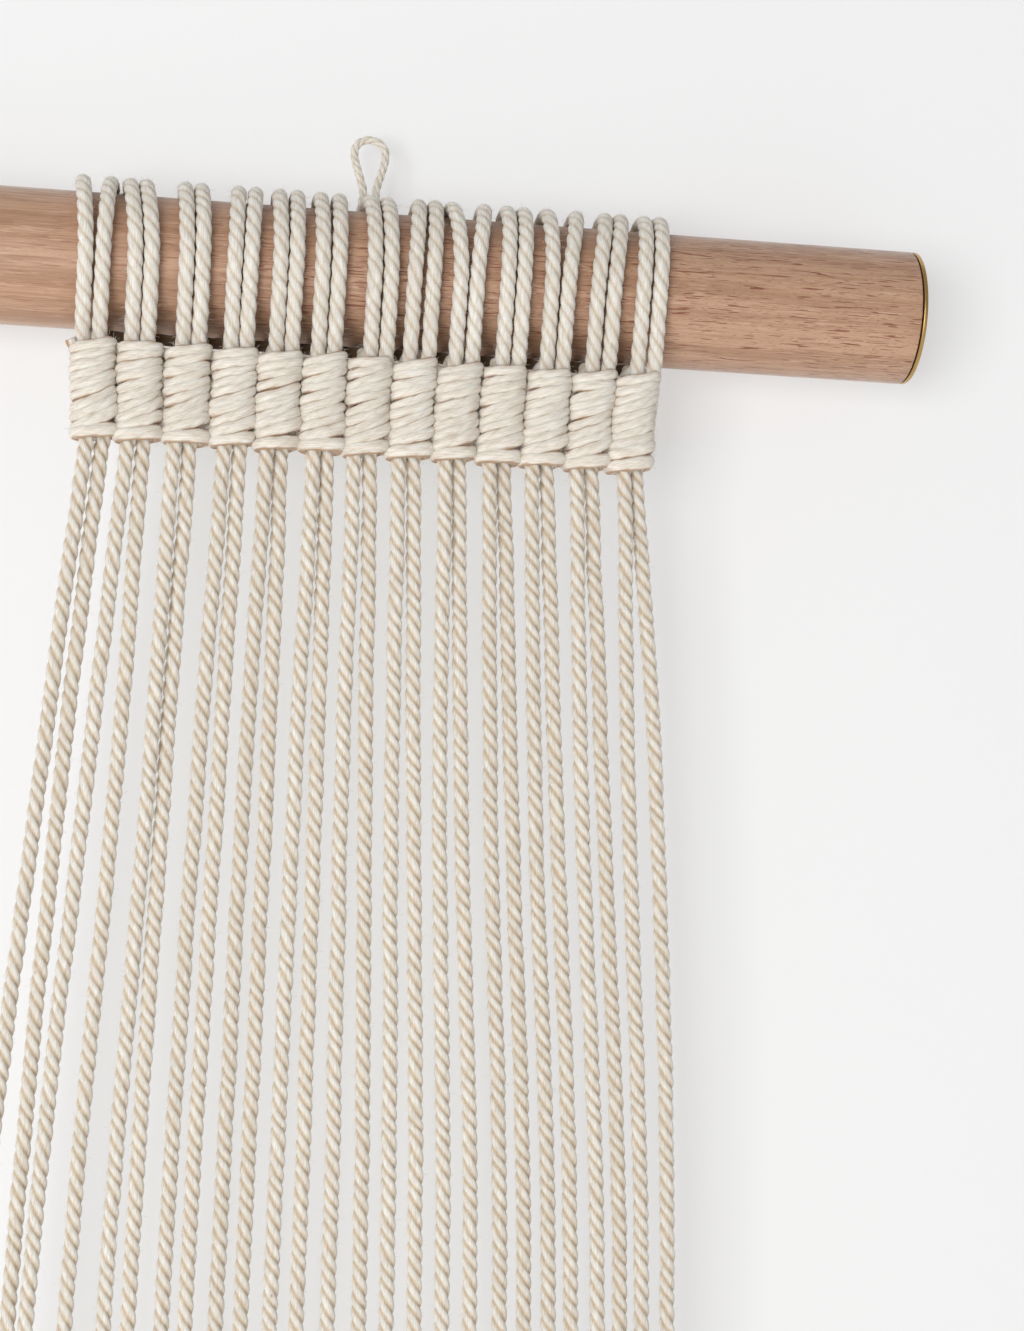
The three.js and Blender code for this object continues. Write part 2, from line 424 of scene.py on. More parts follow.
class CordTree:
    """Base of the Geometry Nodes trees that turn a route into a cord."""

    title = "Cord"

    def __init__(self) -> None:
        """Builds the tree once, with its named inputs."""
        self.tree = bpy.data.node_groups.new(self.title, "GeometryNodeTree")
        self.graph = Graph(self.tree)
        self.sockets: dict[str, str] = {}
        kind = "NodeSocketGeometry"
        self.tree.interface.new_socket("Geometry", in_out="OUTPUT", socket_type=kind)
        self.add_inputs("Geometry", "Geometry")
        self.source = self.graph.node("NodeGroupInput")
        self.declare()
        self.wire()

    def add_inputs(self, kind: str, *names: str) -> None:
        """Adds named inputs of one kind to the tree and keeps their identifiers.

        Args:
            kind: the inputs' type.
            names: their names.
        """
        interface = self.tree.interface
        for name in names:
            socket = interface.new_socket(name, in_out="INPUT", socket_type=f"NodeSocket{kind}")
            self.sockets[name] = socket.identifier

    def declare(self) -> None:
        """Adds the tree's own inputs."""
        raise NotImplementedError

    def wire(self) -> None:
        """Adds the tree's nodes."""
        raise NotImplementedError

    def capture(self, geometry: Any, values: dict[str, Any]) -> tuple[Any, dict[str, Any]]:
        """Captures numbers on the points of a geometry.

        Args:
            geometry: the geometry's socket.
            values: name to the number's socket.

        Returns:
            The geometry with them, and name to the captured number's socket.
        """
        kind = "GeometryNodeCaptureAttribute"
        node = self.graph.node(kind, {"Geometry": geometry}, domain="POINT")
        for name, value in values.items():
            node.capture_items.new("FLOAT", name)
            self.graph.feed(node.inputs[name], value)
        return node.outputs["Geometry"], {name: node.outputs[name] for name in values}

    def store(self, geometry: Any, name: Attribute, kind: str, value: Any) -> Any:
        """Stores a named attribute on a geometry's points.

        Args:
            geometry: the geometry's socket.
            name: which attribute.
            kind: its data type.
            value: the socket of its value.

        Returns:
            The geometry with the attribute.
        """
        inputs = {"Geometry": geometry, "Name": name.value, "Value": value}
        settings = {"data_type": kind, "domain": "POINT"}
        node = self.graph.node("GeometryNodeStoreNamedAttribute", inputs, **settings)
        return node.outputs[0]

    def end(self, geometry: Any, parts: dict[str, Any]) -> None:
        """Stores the attributes and sets the material at the tree's end.

        Args:
            geometry: the finished mesh's socket.
            parts: the sockets of the groove, the angle of the fibres, the length and the radius.
        """
        graph = self.graph
        angle = parts["angle"]
        fibre = graph.xyz(
            graph.math("MULTIPLY", parts["radius"], graph.math("COSINE", angle)),
            graph.math("MULTIPLY", parts["radius"], graph.math("SINE", angle)),
            graph.math("ADD", parts["along"], self.source.outputs["Offset"]),
        )
        geometry = self.store(geometry, Attribute.GROOVE, "FLOAT", parts["groove"])
        geometry = self.store(geometry, Attribute.FIBRE, "FLOAT_VECTOR", fibre)
        geometry = self.store(geometry, Attribute.TONE, "FLOAT", self.source.outputs["Tone"])
        smooth = graph.node("GeometryNodeSetShadeSmooth", {0: geometry}).outputs[0]
        real = graph.node("GeometryNodeRealizeInstances", {0: smooth}).outputs[0]
        inputs = {"Geometry": real, "Material": self.source.outputs["Material"]}
        painted = graph.node("GeometryNodeSetMaterial", inputs).outputs[0]
        graph.node("NodeGroupOutput", {0: painted})

    def convert(self, obj: bpy.types.Object, values: dict[str, Any]) -> bpy.types.Object:
        """Runs the tree on an object and turns the result into a plain mesh object.

        Args:
            obj: the curve or mesh object, which is removed.
            values: input name to its value.

        Returns:
            The mesh object, of the same name.
        """
        modifier = obj.modifiers.new(self.title, "NODES")
        modifier.node_group = self.tree
        for name, value in values.items():
            modifier[self.sockets[name]] = value
        graph = bpy.context.evaluated_depsgraph_get()
        mesh = bpy.data.meshes.new_from_object(obj.evaluated_get(graph))
        name, data = obj.name, obj.data
        obj.modifiers.remove(modifier)
        bpy.data.objects.remove(obj)
        bpy.data.batch_remove([data])
        mesh.name = name
        return add_object(name, mesh)


class PliedCordTree(CordTree):
    """Base of the trees that sweep a section of plies along a route.

    Attributes:
        drift_rate: how quickly the plies' unsteadiness changes, for each metre.
    """

    drift_rate = 110.0

    def plies(self, make: CordMake | PressedMake) -> dict[str, Any]:
        """Works out the inputs that say how a cord's plies lie.

        Args:
            make: how the cord is made.

        Returns:
            Input name to its value.
        """
        return {
            "Groove": make.groove,
            "Twist": make.lay.value * math.tau / make.lay_length,
            "Waver": make.waver,
            "Step": make.step,
            "Plies": make.plies,
            "Sides": make.sides,
        }

    def rail(self) -> tuple[Any, Any]:
        """Adds the route in even steps.

        Returns:
            The curve and the length along it.
        """
        links = {"Curve": self.source.outputs["Geometry"], "Length": self.source.outputs["Step"]}
        even = self.graph.node("GeometryNodeResampleCurve", links, mode="LENGTH")
        return even.outputs[0], self.graph.node("GeometryNodeSplineParameter").outputs["Length"]

    def turn(self, length: Any) -> Any:
        """Adds how far the plies have turned, a little unsteadily.

        Args:
            length: the socket of the length along the cord.

        Returns:
            The angle's socket.
        """
        graph, inputs = self.graph, self.source.outputs
        place = graph.xyz(inputs["Phase"], graph.math("MULTIPLY", length, self.drift_rate), 4.0)
        drift = graph.math("SUBTRACT", graph.noise(place, 1.0, 1.0), 0.5)
        steady = graph.math("MULTIPLY_ADD", length, inputs["Twist"], inputs["Phase"])
        return graph.math("MULTIPLY_ADD", drift, inputs["Waver"], steady)

    def circle(self) -> tuple[Any, Any, Any]:
        """Adds a round section of radius 1.

        Returns:
            The section's curve, the position on it and the angle round it.
        """
        graph, sides = self.graph, self.source.outputs["Sides"]
        curve = graph.node("GeometryNodeCurvePrimitiveCircle", {0: sides, 4: 1.0}).outputs[0]
        position = graph.node("GeometryNodeInputPosition").outputs[0]
        parts = graph.node("ShaderNodeSeparateXYZ", {0: position}).outputs
        return curve, position, graph.math("ARCTAN2", parts[1], parts[0])

    def between_plies(self, angle: Any) -> Any:
        """Adds how far a point lies between two plies.

        Args:
            angle: the socket of its angle from a ply's top.

        Returns:
            The socket of a number, 0 on a ply's top and 1 in a groove.
        """
        graph = self.graph
        half = graph.math("MULTIPLY", self.source.outputs["Plies"], 0.5)
        crest = graph.math("ABSOLUTE", graph.math("COSINE", graph.math("MULTIPLY", angle, half)))
        return graph.math("SUBTRACT", 1.0, crest)


class TwistedCordTree(PliedCordTree):
    """A round cord whose section of plies turns along its route.

    Attributes:
        wander_rate: how quickly the cord's wandering changes, for each metre.
    """

    title = "Twisted cord"
    wander_rate = 60.0

    def declare(self) -> None:
        """Adds the cord's sizes."""
        self.add_inputs("Float", "Radius", "Groove", "Twist", "Phase", "Waver", "Step")
        self.add_inputs("Float", "Tone", "Offset", "Wander")
        self.add_inputs("Int", "Plies", "Sides")
        self.add_inputs("Material", "Material")

    def section(self) -> tuple[Any, dict[str, Any]]:
        """Adds the section's outline: round plies with a groove between each two.

        Returns:
            The outline, and its angle and groove by name.
        """
        graph, inputs = self.graph, self.source.outputs
        circle, position, angle = self.circle()
        values = {"angle": angle, "groove": self.between_plies(angle)}
        outline, kept = self.capture(circle, values)
        depth = graph.math("MULTIPLY", inputs["Groove"], kept["groove"])
        radius = graph.math("MULTIPLY", inputs["Radius"], graph.math("SUBTRACT", 1.0, depth))
        moved = graph.scale(position, radius)
        placed = graph.node("GeometryNodeSetPosition", {"Geometry": outline, "Position": moved})
        return placed.outputs[0], kept

    def wire(self) -> None:
        """Follows the route with the turning section."""
        graph, inputs = self.graph, self.source.outputs
        rail, length = self.rail()
        along = graph.math("MULTIPLY", length, self.wander_rate)
        spot = graph.xyz(inputs["Phase"], along, inputs["Phase"])
        place = {"Vector": spot, "Scale": 1.0, "Detail": 1.0}
        noise = graph.node("ShaderNodeTexNoise", place).outputs["Color"]
        sway = graph.scale(graph.vector("SUBTRACT", noise, (0.5, 0.5, 0.5)), inputs["Wander"])
        swayed = graph.node("GeometryNodeSetPosition", {"Geometry": rail, "Offset": sway})
        turn = self.turn(length)
        curve, kept = self.capture(swayed.outputs[0], {"along": length, "turn": turn})
        tilted = graph.node("GeometryNodeSetCurveTilt", {"Curve": curve, "Tilt": kept["turn"]})
        section, round_parts = self.section()
        mesh = graph.node(
            "GeometryNodeCurveToMesh",
            {"Curve": tilted.outputs[0], "Profile Curve": section, "Fill Caps": True},
        )
        parts = {
            "groove": round_parts["groove"],
            "angle": graph.math("ADD", round_parts["angle"], kept["turn"]),
            "along": kept["along"],
            "radius": inputs["Radius"],
        }
        self.end(mesh.outputs[0], parts)

    def make(self, name: str, route: Sequence[Vector], make: CordMake, **values: Any) -> Any:
        """Makes one twisted cord.

        Args:
            name: the piece's name.
            route: the points that its middle follows.
            make: how the cord is made.
            values: the tree's other inputs.

        Returns:
            The mesh object.
        """
        sizes = {"Radius": make.diameter / 2, **self.plies(make)}
        return self.convert(curve_object(name, route), {**sizes, **values})


class PressedCordTree(PliedCordTree):
    """A cord pressed flat against what it is wound on, with only faint grooves between its plies.

    Attributes:
        seam_shade_start: how far towards the next turn the painted shade of the seam between them
            begins. The seam takes the grooves' painted shade too.
        ply_shade_share: how much of the grooves' painted shade the faint grooves between the plies
            take.
    """

    title = "Pressed cord"
    seam_shade_start = 0.55
    ply_shade_share = 0.62

    def declare(self) -> None:
        """Adds the cord's sizes."""
        self.add_inputs("Float", "Half Depth", "Half Height", "Groove", "Twist", "Phase", "Waver")
        self.add_inputs("Float", "Step", "Tone", "Offset")
        self.add_inputs("Int", "Plies", "Sides")
        self.add_inputs("Material", "Material")

    def section(self) -> tuple[Any, dict[str, Any]]:
        """Adds the oval section, lying flat against the column.

        Returns:
            The outline, and its angle by name.
        """
        graph, inputs = self.graph, self.source.outputs
        circle, position, angle = self.circle()
        outline, kept = self.capture(circle, {"angle": angle})
        oval = graph.xyz(inputs["Half Depth"], inputs["Half Height"], 1.0)
        moved = graph.vector("MULTIPLY", position, oval)
        placed = graph.node("GeometryNodeSetPosition", {"Geometry": outline, "Position": moved})
        return placed.outputs[0], kept

    def wire(self) -> None:
        """Follows the route with the oval section, then presses the grooves into it."""
        graph, inputs = self.graph, self.source.outputs
        rail, length = self.rail()
        curve, kept = self.capture(rail, {"along": length, "turn": self.turn(length)})
        level = graph.node("GeometryNodeSetCurveNormal", {"Curve": curve}, mode="Z_UP")
        section, round_parts = self.section()
        size = graph.node("GeometryNodeInputRadius").outputs[0]
        swept = {"Curve": level.outputs[0], "Profile Curve": section}
        mesh = graph.node("GeometryNodeCurveToMesh", {**swept, "Scale": size, "Fill Caps": True})
        groove = self.between_plies(graph.math("SUBTRACT", round_parts["angle"], kept["turn"]))
        depth = graph.math("MULTIPLY", graph.math("MULTIPLY", groove, inputs["Groove"]), -1.0)
        normal = graph.node("GeometryNodeInputNormal").outputs[0]
        pressed = graph.node(
            "GeometryNodeSetPosition",
            {"Geometry": mesh.outputs[0], "Offset": graph.scale(normal, depth)},
        )
        # Painted shade in the seams where one turn presses on the next, at the section's top and
        # bottom, and a fainter one along the grooves between plies.
        edge = graph.math("ABSOLUTE", graph.math("SINE", round_parts["angle"]))
        seam = graph.remap(edge, self.seam_shade_start, 0.98, 0.0, 1.0)
        soft = graph.math("MULTIPLY", groove, self.ply_shade_share)
        parts = {
            "groove": graph.math("MAXIMUM", soft, seam),
            "angle": round_parts["angle"],
            "along": kept["along"],
            "radius": inputs["Half Height"],
        }
        self.end(pressed.outputs[0], parts)

    def make(
        self,
        name: str,
        route: Sequence[Vector],
        make: PressedMake,
        fullness: Sequence[float] = (),
        **values: Any,
    ) -> bpy.types.Object:
        """Makes one pressed cord.

        Args:
            name: the piece's name.
            route: the points that its middle follows.
            make: how the cord is made and pressed.
            fullness: how thick it is at each point, as a share of its usual thickness.
            values: the tree's other inputs.

        Returns:
            The mesh object.
        """
        sizes = {"Half Depth": make.depth / 2, "Half Height": make.height / 2, **self.plies(make)}
        return self.convert(curve_object(name, route, fullness), {**sizes, **values})


class FibreTree(CordTree):
    """Base of the trees that scatter loose fibres.

    Attributes:
        rings: points along a fibre.
        bend_rate: how quickly the fibres' bends change, for each metre.
    """

    title = "Fibres"
    rings = 4
    bend_rate = 900.0

    def declare(self) -> None:
        """Adds the sizes of the fibres."""
        self.add_inputs("Float", "Length", "Sway", "Thickness", "Tone", "Offset")
        self.add_inputs("Int", "Seed")
        self.add_inputs("Material", "Material")

    def scatter(self, low: tuple[float, ...], high: tuple[float, ...], shift: int) -> Any:
        """Adds a random vector, the same for the same seed.

        Args:
            low: its lowest values.
            high: its highest values.
            shift: what is added to the seed.

        Returns:
            The vector's socket.
        """
        graph = self.graph
        node = graph.node("FunctionNodeRandomValue", data_type="FLOAT_VECTOR")
        seed = graph.math("ADD", self.source.outputs["Seed"], shift)
        for name, value in (("Min", low), ("Max", high), ("Seed", seed)):
            graph.feed(next(s for s in node.inputs if s.name == name and s.enabled), value)
        return next(s for s in node.outputs if s.enabled)

    def grow(self, points: Any, rotation: Any) -> None:
        """Puts a bent fibre along Z on every point and ends the tree.

        Args:
            points: the points' socket.
            rotation: the socket of their rotations.
        """
        graph, inputs = self.graph, self.source.outputs
        line = graph.node("GeometryNodeCurvePrimitiveLine", {"End": (0.0, 0.0, 1.0)}).outputs[0]
        bar = graph.node("GeometryNodeResampleCurve", {"Curve": line, "Count": self.rings})
        stretch = graph.xyz(1.0, 1.0, inputs["Length"])
        size = graph.vector("MULTIPLY", self.scatter((1.0, 1.0, 0.35), (1.0, 1.0, 1.0), 2), stretch)
        links = {"Points": points, "Instance": bar.outputs[0], "Rotation": rotation, "Scale": size}
        placed = graph.node("GeometryNodeInstanceOnPoints", links).outputs[0]
        fibres = graph.node("GeometryNodeRealizeInstances", {0: placed})
        share = graph.node("GeometryNodeSplineParameter").outputs["Factor"]
        position = graph.node("GeometryNodeInputPosition").outputs[0]
        place = {"Vector": position, "Scale": self.bend_rate, "Detail": 1.0}
        noise = graph.node("ShaderNodeTexNoise", place).outputs["Color"]
        reach = graph.math("MULTIPLY", share, inputs["Sway"])
        bend = graph.scale(graph.vector("SUBTRACT", noise, (0.5, 0.5, 0.5)), reach)
        moved = {"Geometry": fibres.outputs[0], "Offset": bend}
        bent = graph.node("GeometryNodeSetPosition", moved)
        circle = graph.node("GeometryNodeCurvePrimitiveCircle", {0: 3, 4: inputs["Thickness"]})
        swept = {"Curve": bent.outputs[0], "Profile Curve": circle.outputs[0], "Fill Caps": True}
        mesh = graph.node("GeometryNodeCurveToMesh", swept)
        # The fibres take a trace of the finish's painted groove shade.
        self.end(mesh.outputs[0], {"groove": 0.1, "angle": 0.0, "along": share, "radius": 0.001})


class FrayTree(FibreTree):
    """The loose fibres at a cord's cut end, hanging down from it."""

    title = "Frayed end"
    rings = 6
    bend_rate = 420.0

    def declare(self) -> None:
        """Adds the place and the sizes of the fray."""
        super().declare()
        self.add_inputs("Vector", "Place")
        self.add_inputs("Float", "Radius", "Spread")
        self.add_inputs("Int", "Fibres")

    def wire(self) -> None:
        """Scatters fibres over the cut end, all pointing more or less down."""
        graph, inputs = self.graph, self.source.outputs
        spot = graph.scale(self.scatter((-1.0, -1.0, 0.0), (1.0, 1.0, 0.0), 0), inputs["Radius"])
        place = graph.vector("ADD", inputs["Place"], spot)
        points = graph.node("GeometryNodePoints", {"Count": inputs["Fibres"], "Position": place})
        lean = graph.scale(self.scatter((-1.0, -1.0, 0.0), (1.0, 1.0, 6.0), 1), inputs["Spread"])
        self.grow(points.outputs[0], graph.vector("ADD", lean, (math.pi, 0.0, 0.0)))

    def make(self, name: str, place: Vector, seed: int, **values: Any) -> bpy.types.Object:
        """Makes the fray of one cord.

        Args:
            name: the object's name.
            place: the middle of the cord's cut end.
            seed: seed of the scatter.
            values: the tree's other inputs.

        Returns:
            The mesh object.
        """
        holder = curve_object(name, [place, place - Vector((0.0, 0.0, 1 * MM))])
        return self.convert(holder, {"Place": tuple(place), "Seed": seed, **values})


class FuzzTree(FibreTree):
    """Short loose fibres standing off the surface of a cord.

    Attributes:
        length: a fibre's longest length.
        sway: how far a fibre's tip bends aside.
        thickness: a fibre's radius.
        tone: how much lighter than the cord it is.
    """

    title = "Fuzz"
    length = 1.3 * MM
    sway = 2.2 * MM
    thickness = 0.03 * MM
    tone = 1.05

    def declare(self) -> None:
        """Adds the number of fibres and their sizes."""
        super().declare()
        self.add_inputs("Float", "Density")

    def wire(self) -> None:
        """Scatters fibres over the faces, each along its face's normal."""
        graph, inputs = self.graph, self.source.outputs
        links = {"Mesh": inputs["Geometry"], "Density": inputs["Density"], "Seed": inputs["Seed"]}
        spots = graph.node("GeometryNodeDistributePointsOnFaces", links)
        self.grow(spots.outputs["Points"], spots.outputs["Rotation"])

    def make(
        self, name: str, cord: bpy.types.Object, seed: int, density: float
    ) -> bpy.types.Object:
        """Makes the fuzz of one cord.

        Args:
            name: the object's name.
            cord: the cord's mesh object, which is kept.
            seed: seed of the scatter.
            density: fibres on a square metre.

        Returns:
            The mesh object.
        """
        values = {
            "Length": self.length,
            "Sway": self.sway,
            "Thickness": self.thickness,
            "Tone": self.tone,
            "Offset": 0.0,
            "Seed": seed,
            "Density": density,
            "Material": cord.data.materials[0],
        }
        return self.convert(add_object(name, cord.data.copy()), values)


# ---- Finishes ----------------------------------------------------------------------------------


def node_material(name: str) -> tuple[bpy.types.Material, Graph, Any]:
    """Adds a node material.

    Args:
        name: the material's name.

    Returns:
        The material, its graph and its Principled shader.
    """
    material = bpy.data.materials.new(name)
    material.use_nodes = True
    return material, Graph(material.node_tree), material.node_tree.nodes["Principled BSDF"]


@dataclass(frozen=True)
class CottonFinish:
    """Undyed cotton cord: pale crests, brown painted shade down in the grooves between the plies,
    and fine fibres along the cord.

    Attributes:
        crest: colour of the plies' tops.
        groove: colour of the painted shade down between the plies.
        groove_shade_range: groove values between which the painted shade comes in.
        streak: how far fibres lighten or darken the colour.
        fibre_scale: how fine the fibres are across the cord.
        bump: height of the fibres.
        speck: strength of the few brown specks of seed.
        seed_brown: colour of the specks.
    """

    name: str
    crest: tuple[float, float, float, float] = (0.81, 0.775, 0.71, 1.0)
    groove: tuple[float, float, float, float] = (0.66, 0.545, 0.405, 1.0)
    groove_shade_range: tuple[float, float] = (0.0, 0.85)
    streak: float = 0.16
    fibre_scale: float = 5200.0
    bump: float = 0.00012
    speck: float = 0.6
    seed_brown: tuple[float, float, float, float] = (0.30, 0.17, 0.09, 1.0)

    def build(self) -> bpy.types.Material:
        """Builds the finish.

        Returns:
            The node material.
        """
        material, graph, shader = node_material(self.name)
        attribute = "ShaderNodeAttribute"
        groove = graph.node(attribute, attribute_name=Attribute.GROOVE.value).outputs["Fac"]
        tone = graph.node(attribute, attribute_name=Attribute.TONE.value).outputs["Fac"]
        fibre = graph.node(attribute, attribute_name=Attribute.FIBRE.value).outputs["Vector"]
        stretched = graph.vector("MULTIPLY", fibre, (1.0, 1.0, 0.07))
        fine = graph.noise(stretched, self.fibre_scale, 3.0, 0.6)
        soft = graph.noise(graph.vector("MULTIPLY", fibre, (1.0, 1.0, 0.3)), 900.0, 2.0)
        # Painted shade: the colour turns brown towards the grooves between plies and, on the pressed
        # cord, towards the seams between wraps.
        groove_shade_mask = graph.remap(groove, *self.groove_shade_range, 0.0, 1.0)
        colour = graph.blend(groove_shade_mask, self.crest, self.groove)
        light = graph.remap(fine, 0.3, 0.7, 1.0 - self.streak, 1.0 + self.streak / 2)
        shade = graph.remap(soft, 0.3, 0.7, 0.93, 1.04)
        # The tone scales the colour and browns it as it darkens. The working cord's first pass gets
        # a low tone: painted shade.
        level = graph.math("MULTIPLY", graph.math("MULTIPLY", light, shade), tone)
        warmed = graph.xyz(level, graph.math("POWER", level, 1.2), graph.math("POWER", level, 1.45))
        tinted = graph.blend(1.0, colour, warmed, "MULTIPLY")
        specks = graph.noise(graph.vector("MULTIPLY", fibre, (1.0, 1.0, 0.5)), 420.0, 1.0)
        seen = graph.remap(specks, 0.80, 0.84, 0.0, self.speck)
        height = graph.math("ADD", fine, graph.math("MULTIPLY", soft, 0.6))
        bump = graph.node("ShaderNodeBump", {"Height": height, "Distance": self.bump})
        surface = {
            "Base Color": graph.blend(seen, tinted, self.seed_brown),
            "Roughness": 0.9,
            "Specular IOR Level": 0.25,
            "Subsurface Weight": 0.25,
            "Subsurface Radius": (1.0, 0.75, 0.55),
            "Subsurface Scale": 0.9 * MM,
            "Sheen Weight": 0.25,
            "Sheen Roughness": 0.5,
            "Normal": bump.outputs[0],
        }
        graph.fill(shader, surface)
        return material


# Each finish's groove colour is painted shade down between the plies. The knot cord's dark brown one
# is also painted shade in the seams between wraps.
LOOSE_COTTON = CottonFinish("cotton_cord")
TAUT_COTTON = CottonFinish(
    "cotton_taut", groove=(0.68, 0.585, 0.46, 1.0), groove_shade_range=(0.05, 1.1)
)
STRING_COTTON = CottonFinish(
    "hanger_string",
    crest=(0.86, 0.82, 0.75, 1.0),
    groove=(0.75, 0.665, 0.54, 1.0),
    groove_shade_range=(0.2, 1.0),
    speck=0.0,
)
PRESSED_COTTON = CottonFinish(
    "knot_cord",
    crest=(0.83, 0.775, 0.69, 1.0),
    groove=(0.46, 0.27, 0.14, 1.0),
    groove_shade_range=(0.35, 1.1),
)


@dataclass(frozen=True)
class BeechFinish:
    """Sanded beech: a pinkish tan with soft growth bands and short dark flecks along the grain.

    Attributes:
        light: colour of the wood.
        dark: colour of the darker growth bands.
        fleck: colour of the short flecks.
        ray: colour of the pale rays.
        fleck_rise: places along the dowel between which the flecks grow stronger.
        bump: height of the grain.
    """

    name: str = "beech"
    light: tuple[float, float, float, float] = (0.53, 0.32, 0.205, 1.0)
    dark: tuple[float, float, float, float] = (0.40, 0.225, 0.135, 1.0)
    fleck: tuple[float, float, float, float] = (0.23, 0.07, 0.035, 1.0)
    ray: tuple[float, float, float, float] = (0.64, 0.43, 0.31, 1.0)
    fleck_rise: tuple[float, float] = (-100 * MM, 20 * MM)
    bump: float = 0.06 * MM

    def build(self) -> bpy.types.Material:
        """Builds the finish.

        Returns:
            The node material.
        """
        material, graph, shader = node_material(self.name)
        place = graph.node("ShaderNodeTexCoord").outputs["Object"]
        warp = graph.noise(graph.vector("MULTIPLY", place, (7.0, 30.0, 30.0)), 1.0, 2.0)
        bands = graph.vector("MULTIPLY", place, (5.0, 300.0, 300.0))
        bent = graph.vector("ADD", bands, graph.xyz(0.0, graph.math("MULTIPLY", warp, 4.0), warp))
        growth = graph.noise(bent, 1.0, 4.0, 0.65)
        grain = graph.noise(graph.vector("MULTIPLY", place, (60.0, 2600.0, 2600.0)), 1.0, 4.0, 0.65)
        half = graph.math("MULTIPLY", growth, 0.5)
        mixed = graph.math("ADD", half, graph.math("MULTIPLY", grain, 0.5))
        colour = graph.blend(graph.remap(mixed, 0.42, 0.58, 0.0, 1.0), self.light, self.dark)
        specks = graph.noise(graph.vector("MULTIPLY", place, (180.0, 3000.0, 3000.0)), 1.0, 0.5)
        small = graph.noise(graph.vector("MULTIPLY", place, (620.0, 5200.0, 5200.0)), 1.0, 1.0)
        flecked = graph.math(
            "MAXIMUM",
            graph.remap(specks, 0.635, 0.68, 0.0, 0.9),
            graph.remap(small, 0.625, 0.69, 0.0, 0.5),
        )
        along = graph.node("ShaderNodeSeparateXYZ", {0: place}).outputs["X"]
        seen = graph.math("MULTIPLY", flecked, graph.remap(along, *self.fleck_rise, 0.3, 1.0))
        rays = graph.noise(graph.vector("MULTIPLY", place, (160.0, 1700.0, 1700.0)), 1.0, 2.0)
        paled = graph.blend(graph.remap(rays, 0.58, 0.72, 0.0, 0.5), colour, self.ray)
        height = graph.math("SUBTRACT", grain, graph.math("MULTIPLY", seen, 0.8))
        bump = graph.node("ShaderNodeBump", {"Height": height, "Distance": self.bump})
        surface = {
            "Base Color": graph.blend(seen, paled, self.fleck),
            "Roughness": graph.remap(grain, 0.3, 0.7, 0.42, 0.56),
            "Specular IOR Level": 0.5,
            "Sheen Weight": 0.35,
            "Sheen Roughness": 0.35,
            "Normal": bump.outputs[0],
        }
        graph.fill(shader, surface)
        return material


@dataclass(frozen=True)
class BrassFinish:
    """Thin satin brass with fine turning marks and a little tarnish.

    Attributes:
        colour: colour of the clean metal.
        tarnish: colour of the tarnish.
        bump: height of the turning marks.
    """

    name: str = "brass"
    colour: tuple[float, float, float, float] = (0.52, 0.34, 0.13, 1.0)
    tarnish: tuple[float, float, float, float] = (0.32, 0.20, 0.08, 1.0)
    bump: float = 0.03 * MM

    def build(self) -> bpy.types.Material:
        """Builds the finish.

        Returns:
            The node material.
        """
        material, graph, shader = node_material(self.name)
        place = graph.node("ShaderNodeTexCoord").outputs["Object"]
        shift = (0.0, -DOWEL_Y, -DOWEL_Z)
        flat = graph.vector("MULTIPLY", graph.vector("ADD", place, shift), (0.0, 1.0, 1.0))
        radius = graph.node("ShaderNodeVectorMath", {0: flat}, operation="LENGTH").outputs["Value"]
        marks = graph.noise(graph.xyz(graph.math("MULTIPLY", radius, 9000.0), 0.0, 0.0), 1.0, 2.0)
        cloud = graph.noise(place, 140.0, 4.0, 0.6)
        worn = graph.remap(cloud, 0.45, 0.75, 0.0, 0.55)
        bump = graph.node("ShaderNodeBump", {"Height": marks, "Distance": self.bump})
        surface = {
            "Base Color": graph.blend(worn, self.colour, self.tarnish),
            "Metallic": 1.0,
            "Roughness": graph.remap(cloud, 0.3, 0.8, 0.26, 0.45),
            "Normal": bump.outputs[0],
        }
        graph.fill(shader, surface)
        return material


@dataclass(frozen=True)
class StudioFinish:
    """Plain pale wall and floor, lit a little from within so that shadows on it stay light. From
    behind it is clear, so it never hides the hanging."""

    name: str = "studio_pale"
    colour: tuple[float, float, float, float] = (0.46, 0.46, 0.46, 1.0)
    glow: float = 0.445

    def build(self) -> bpy.types.Material:
        """Builds the finish.

        Returns:
            The node material.
        """
        material, graph, shader = node_material(self.name)
        surface = {
            "Base Color": self.colour,
            "Roughness": 1.0,
            "Specular IOR Level": 0.0,
            "Emission Color": (1.0, 1.0, 1.0, 1.0),
            "Emission Strength": self.glow,
        }
        graph.fill(shader, surface)
        clear = graph.node("ShaderNodeBsdfTransparent").outputs[0]
        behind = graph.node("ShaderNodeNewGeometry").outputs["Backfacing"]
        mix = graph.node("ShaderNodeMixShader", {0: behind, 1: shader.outputs[0], 2: clear})
        graph.fill(material.node_tree.nodes["Material Output"], {"Surface": mix.outputs[0]})
        return material


# ---- Studio ------------------------------------------------------------------------------------


@dataclass(frozen=True)
class Lamp:
    """A square area light that faces the middle of the hanging.

    Attributes:
        name: the light's name.
        place: where it stands.
        size: its side.
        power: its power in watts.
    """

    name: str
    place: tuple[float, float, float]
    size: float
    power: float


KEY_LAMP = Lamp("key_light", (-0.65, -1.4, -0.3), 0.7, 14.2)
FILL_LAMP = Lamp("fill_light", (0.3, -1.1, -1.1), 1.2, 10.5)


